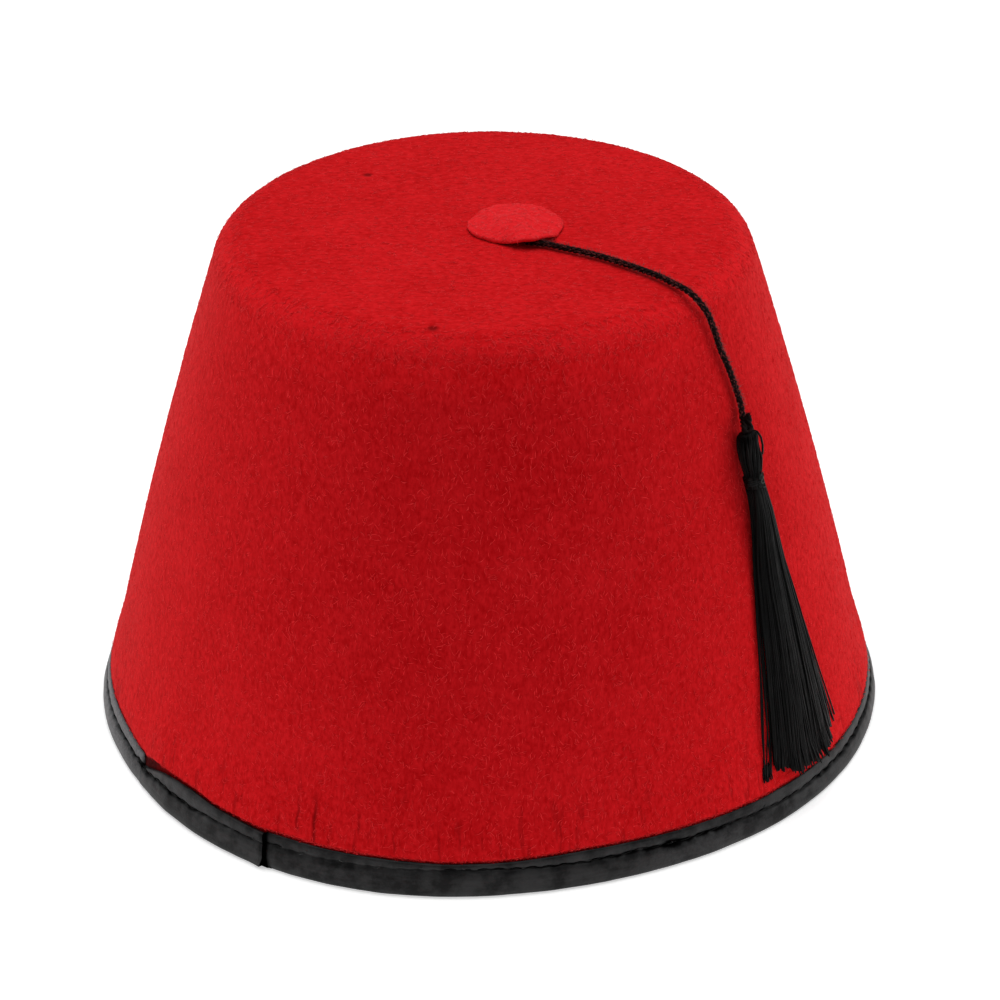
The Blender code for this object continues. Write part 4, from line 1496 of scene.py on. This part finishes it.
class FEZ_OT_tassel(bpy.types.Operator):
    """Head, wound neck and skirt of threads"""
    bl_idname = "fez.tassel"
    bl_label = "Tassel"

    def execute(self, context):
        sizes = context.scene.fez_tassel
        loose = thread_material("black_tassel_thread", sizes.colour, 0.36, 0.05, lighter=5.5)
        tied = thread_material("black_head_thread", sizes.colour, 0.36, 0.05, lighter=13.0)
        grey = thread_material("grey_neck_thread", (0.016, 0.019, 0.017), 0.5, lighter=4.0)
        place = hat_place()
        rng = np.random.default_rng(7)
        thickness = sizes.strand * HEAD_THREAD

        threads = head_threads(place, thickness, sizes.head_threads, rng)
        radii = sizes.strand * rng.uniform(0.47, 0.70, (sizes.head_threads, 1))
        dress(make_tubes("tassel_head", threads, radii, 6), tied, "tassel_thread", "tassel")
        threads, radii = head_core(place, thickness)
        dress(make_tubes("head_core", threads, radii, 24), loose, "tassel_thread", "tassel")
        dress(make_tubes("head_loop", head_loop(place), 0.00027, 8), tied, "tassel_thread", "tassel")
        wrap = make_tubes("neck_wrap", neck_wrap(place, sizes.wrap_turns), 0.00026, 6)
        dress(wrap, tied, "tassel_thread", "tassel_wrap")
        dress(make_tubes("wrap_tie", grey_turn_threads(place), 0.00015, 6), grey, "tassel_thread")

        spots = skirt_spots(sizes.strand_count, rng)
        paths, normals = as_threads([strand(place, spot, sizes.strand, rng) for spot in spots])
        skirt = make_tubes("tassel_skirt", (paths, unit(normals)), sizes.strand / 2, 6)
        dress(skirt, loose, "tassel_thread", "tassel")
        return {"FINISHED"}


# Stage


class FezStageSettings(bpy.types.PropertyGroup):
    """Floor and light."""
    floor: colour_setting("Floor", "Colour of the floor", (0.86, 0.86, 0.86))
    floor_size: length_setting("Floor size", "Side of the floor", 14.0)
    glow: strength_setting("Floor glow", "Light that the floor itself gives", 0.30)
    glow_ahead: strength_setting("Glow ahead", "Light that the floor gives more in front of the hat", 0.30)
    sky: strength_setting("Sky", "Strength of the even light", 0.10)
    sun: strength_setting("Top light", "Strength of the soft top light", 2.55)
    left: strength_setting("Left light", "Power of the left light", 2.8)
    right: strength_setting("Right light", "Power of the right light", 3.6)


# Side lights: place on each side, what they aim at, and size
LEFT_LIGHT = (-1.1, 0.0, 0.35)
RIGHT_LIGHT = (1.1, 0.05, 0.35)
LIGHT_AIM = (0, 0, 0.06)
LIGHT_SIZE = (0.6, 0.7)

# Middle and reach of the floor's brighter part in front of the hat
AHEAD_PLACE = (0, -0.2, 0)
AHEAD_REACH = 0.26


def add_side_light(name, place, power):
    bpy.ops.object.light_add(type="AREA", location=place)
    light = bpy.context.object
    light.name = name
    light.data.shape = "RECTANGLE"
    light.data.size, light.data.size_y = LIGHT_SIZE
    light.data.energy = power
    aim = Vector(LIGHT_AIM) - Vector(place)
    light.rotation_euler = aim.to_track_quat("-Z", "Y").to_euler()


class FEZ_OT_stage(bpy.types.Operator):
    """Pale floor, soft studio light and the camera of the photograph"""
    bl_idname = "fez.stage"
    bl_label = "Stage"

    def execute(self, context):
        sizes = context.scene.fez_stage
        bpy.ops.object.select_all(action="DESELECT")
        bpy.ops.mesh.primitive_plane_add(size=sizes.floor_size, location=(0, 0, 0))
        floor = context.object
        floor.name = "floor"
        look = Look("pale_floor")
        glow = look.add(look.times(look.near(AHEAD_PLACE, AHEAD_REACH), sizes.glow_ahead), sizes.glow)
        floor.data.materials.append(look.finish({
            "Base Color": (*sizes.floor, 1.0), "Roughness": 0.9, "Emission Color": (1.0, 1.0, 1.0, 1.0),
            "Emission Strength": glow,
        }))
        floor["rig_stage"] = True

        world = bpy.data.worlds.new("soft_sky")
        world.use_nodes = True
        sky = world.node_tree.nodes["Background"]
        sky.inputs["Color"].default_value = (1.0, 1.0, 1.0, 1.0)
        sky.inputs["Strength"].default_value = sizes.sky
        context.scene.world = world

        bpy.ops.object.light_add(type="SUN", location=(0, 0, 1.5))
        sun = context.object
        sun.name = "top_light"
        sun.data.energy = sizes.sun
        sun.data.angle = math.radians(70)
        sun.rotation_euler = (math.radians(-11), 0, 0)
        add_side_light("left_light", LEFT_LIGHT, sizes.left)
        add_side_light("right_light", RIGHT_LIGHT, sizes.right)

        camera_data = bpy.data.cameras.new("photo_camera")
        camera_data.lens = CAMERA_LENS
        camera_data.sensor_width = CAMERA_SENSOR
        camera_data.clip_start = 0.01
        camera = bpy.data.objects.new("photo_camera", camera_data)
        context.scene.collection.objects.link(camera)
        turn = Matrix.Rotation(math.radians(90 - CAMERA_FALL), 4, "X")
        roll = Matrix.Rotation(math.radians(CAMERA_ROLL), 4, "Z")
        camera.matrix_world = Matrix.Translation(CAMERA_PLACE) @ turn @ roll
        context.scene.camera = camera
        context.scene.view_settings.view_transform = "Standard"
        return {"FINISHED"}


class FEZ_PT_panel(bpy.types.Panel):
    """The pieces in order, each with its sizes and colours"""
    bl_idname = "FEZ_PT_panel"
    bl_label = "Fez hat"
    bl_space_type = "VIEW_3D"
    bl_region_type = "UI"
    bl_category = "Fez"

    def draw(self, context):
        for operator, name, _ in STEPS:
            box = self.layout.box()
            box.operator(operator.bl_idname)
            settings = getattr(context.scene, name)
            for setting in settings.__annotations__:
                box.prop(settings, setting)


STEPS = [
    (FEZ_OT_stage, "fez_stage", FezStageSettings),
    (FEZ_OT_tassel_cord, "fez_cord", FezCordSettings),
    (FEZ_OT_felt_shell, "fez_felt", FezFeltSettings),
    (FEZ_OT_edge_binding, "fez_binding", FezBindingSettings),
    (FEZ_OT_crown_disc, "fez_disc", FezDiscSettings),
    (FEZ_OT_tassel, "fez_tassel", FezTasselSettings),
]


def register():
    for operator, name, group in STEPS:
        bpy.utils.register_class(group)
        setattr(bpy.types.Scene, name, bpy.props.PointerProperty(type=group))
        bpy.utils.register_class(operator)
    bpy.utils.register_class(FEZ_PT_panel)


def unregister():
    bpy.utils.unregister_class(FEZ_PT_panel)
    for operator, name, group in STEPS:
        bpy.utils.unregister_class(operator)
        delattr(bpy.types.Scene, name)
        bpy.utils.unregister_class(group)


def write_sizes():
    """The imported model's box and the dressed one's, as plain lists."""
    boxes = {"cad": CAD_BOX, "visual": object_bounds()}
    plain = {name: [list(low), list(high)] for name, (low, high) in boxes.items()}


def main():
    register()
    bpy.ops.fez.stage()
    bpy.ops.fez.tassel_cord()
    bpy.ops.fez.felt_shell()
    bpy.ops.fez.edge_binding()
    bpy.ops.fez.crown_disc()
    bpy.ops.fez.tassel()
    write_sizes()


if __name__ == "__main__":
    main()
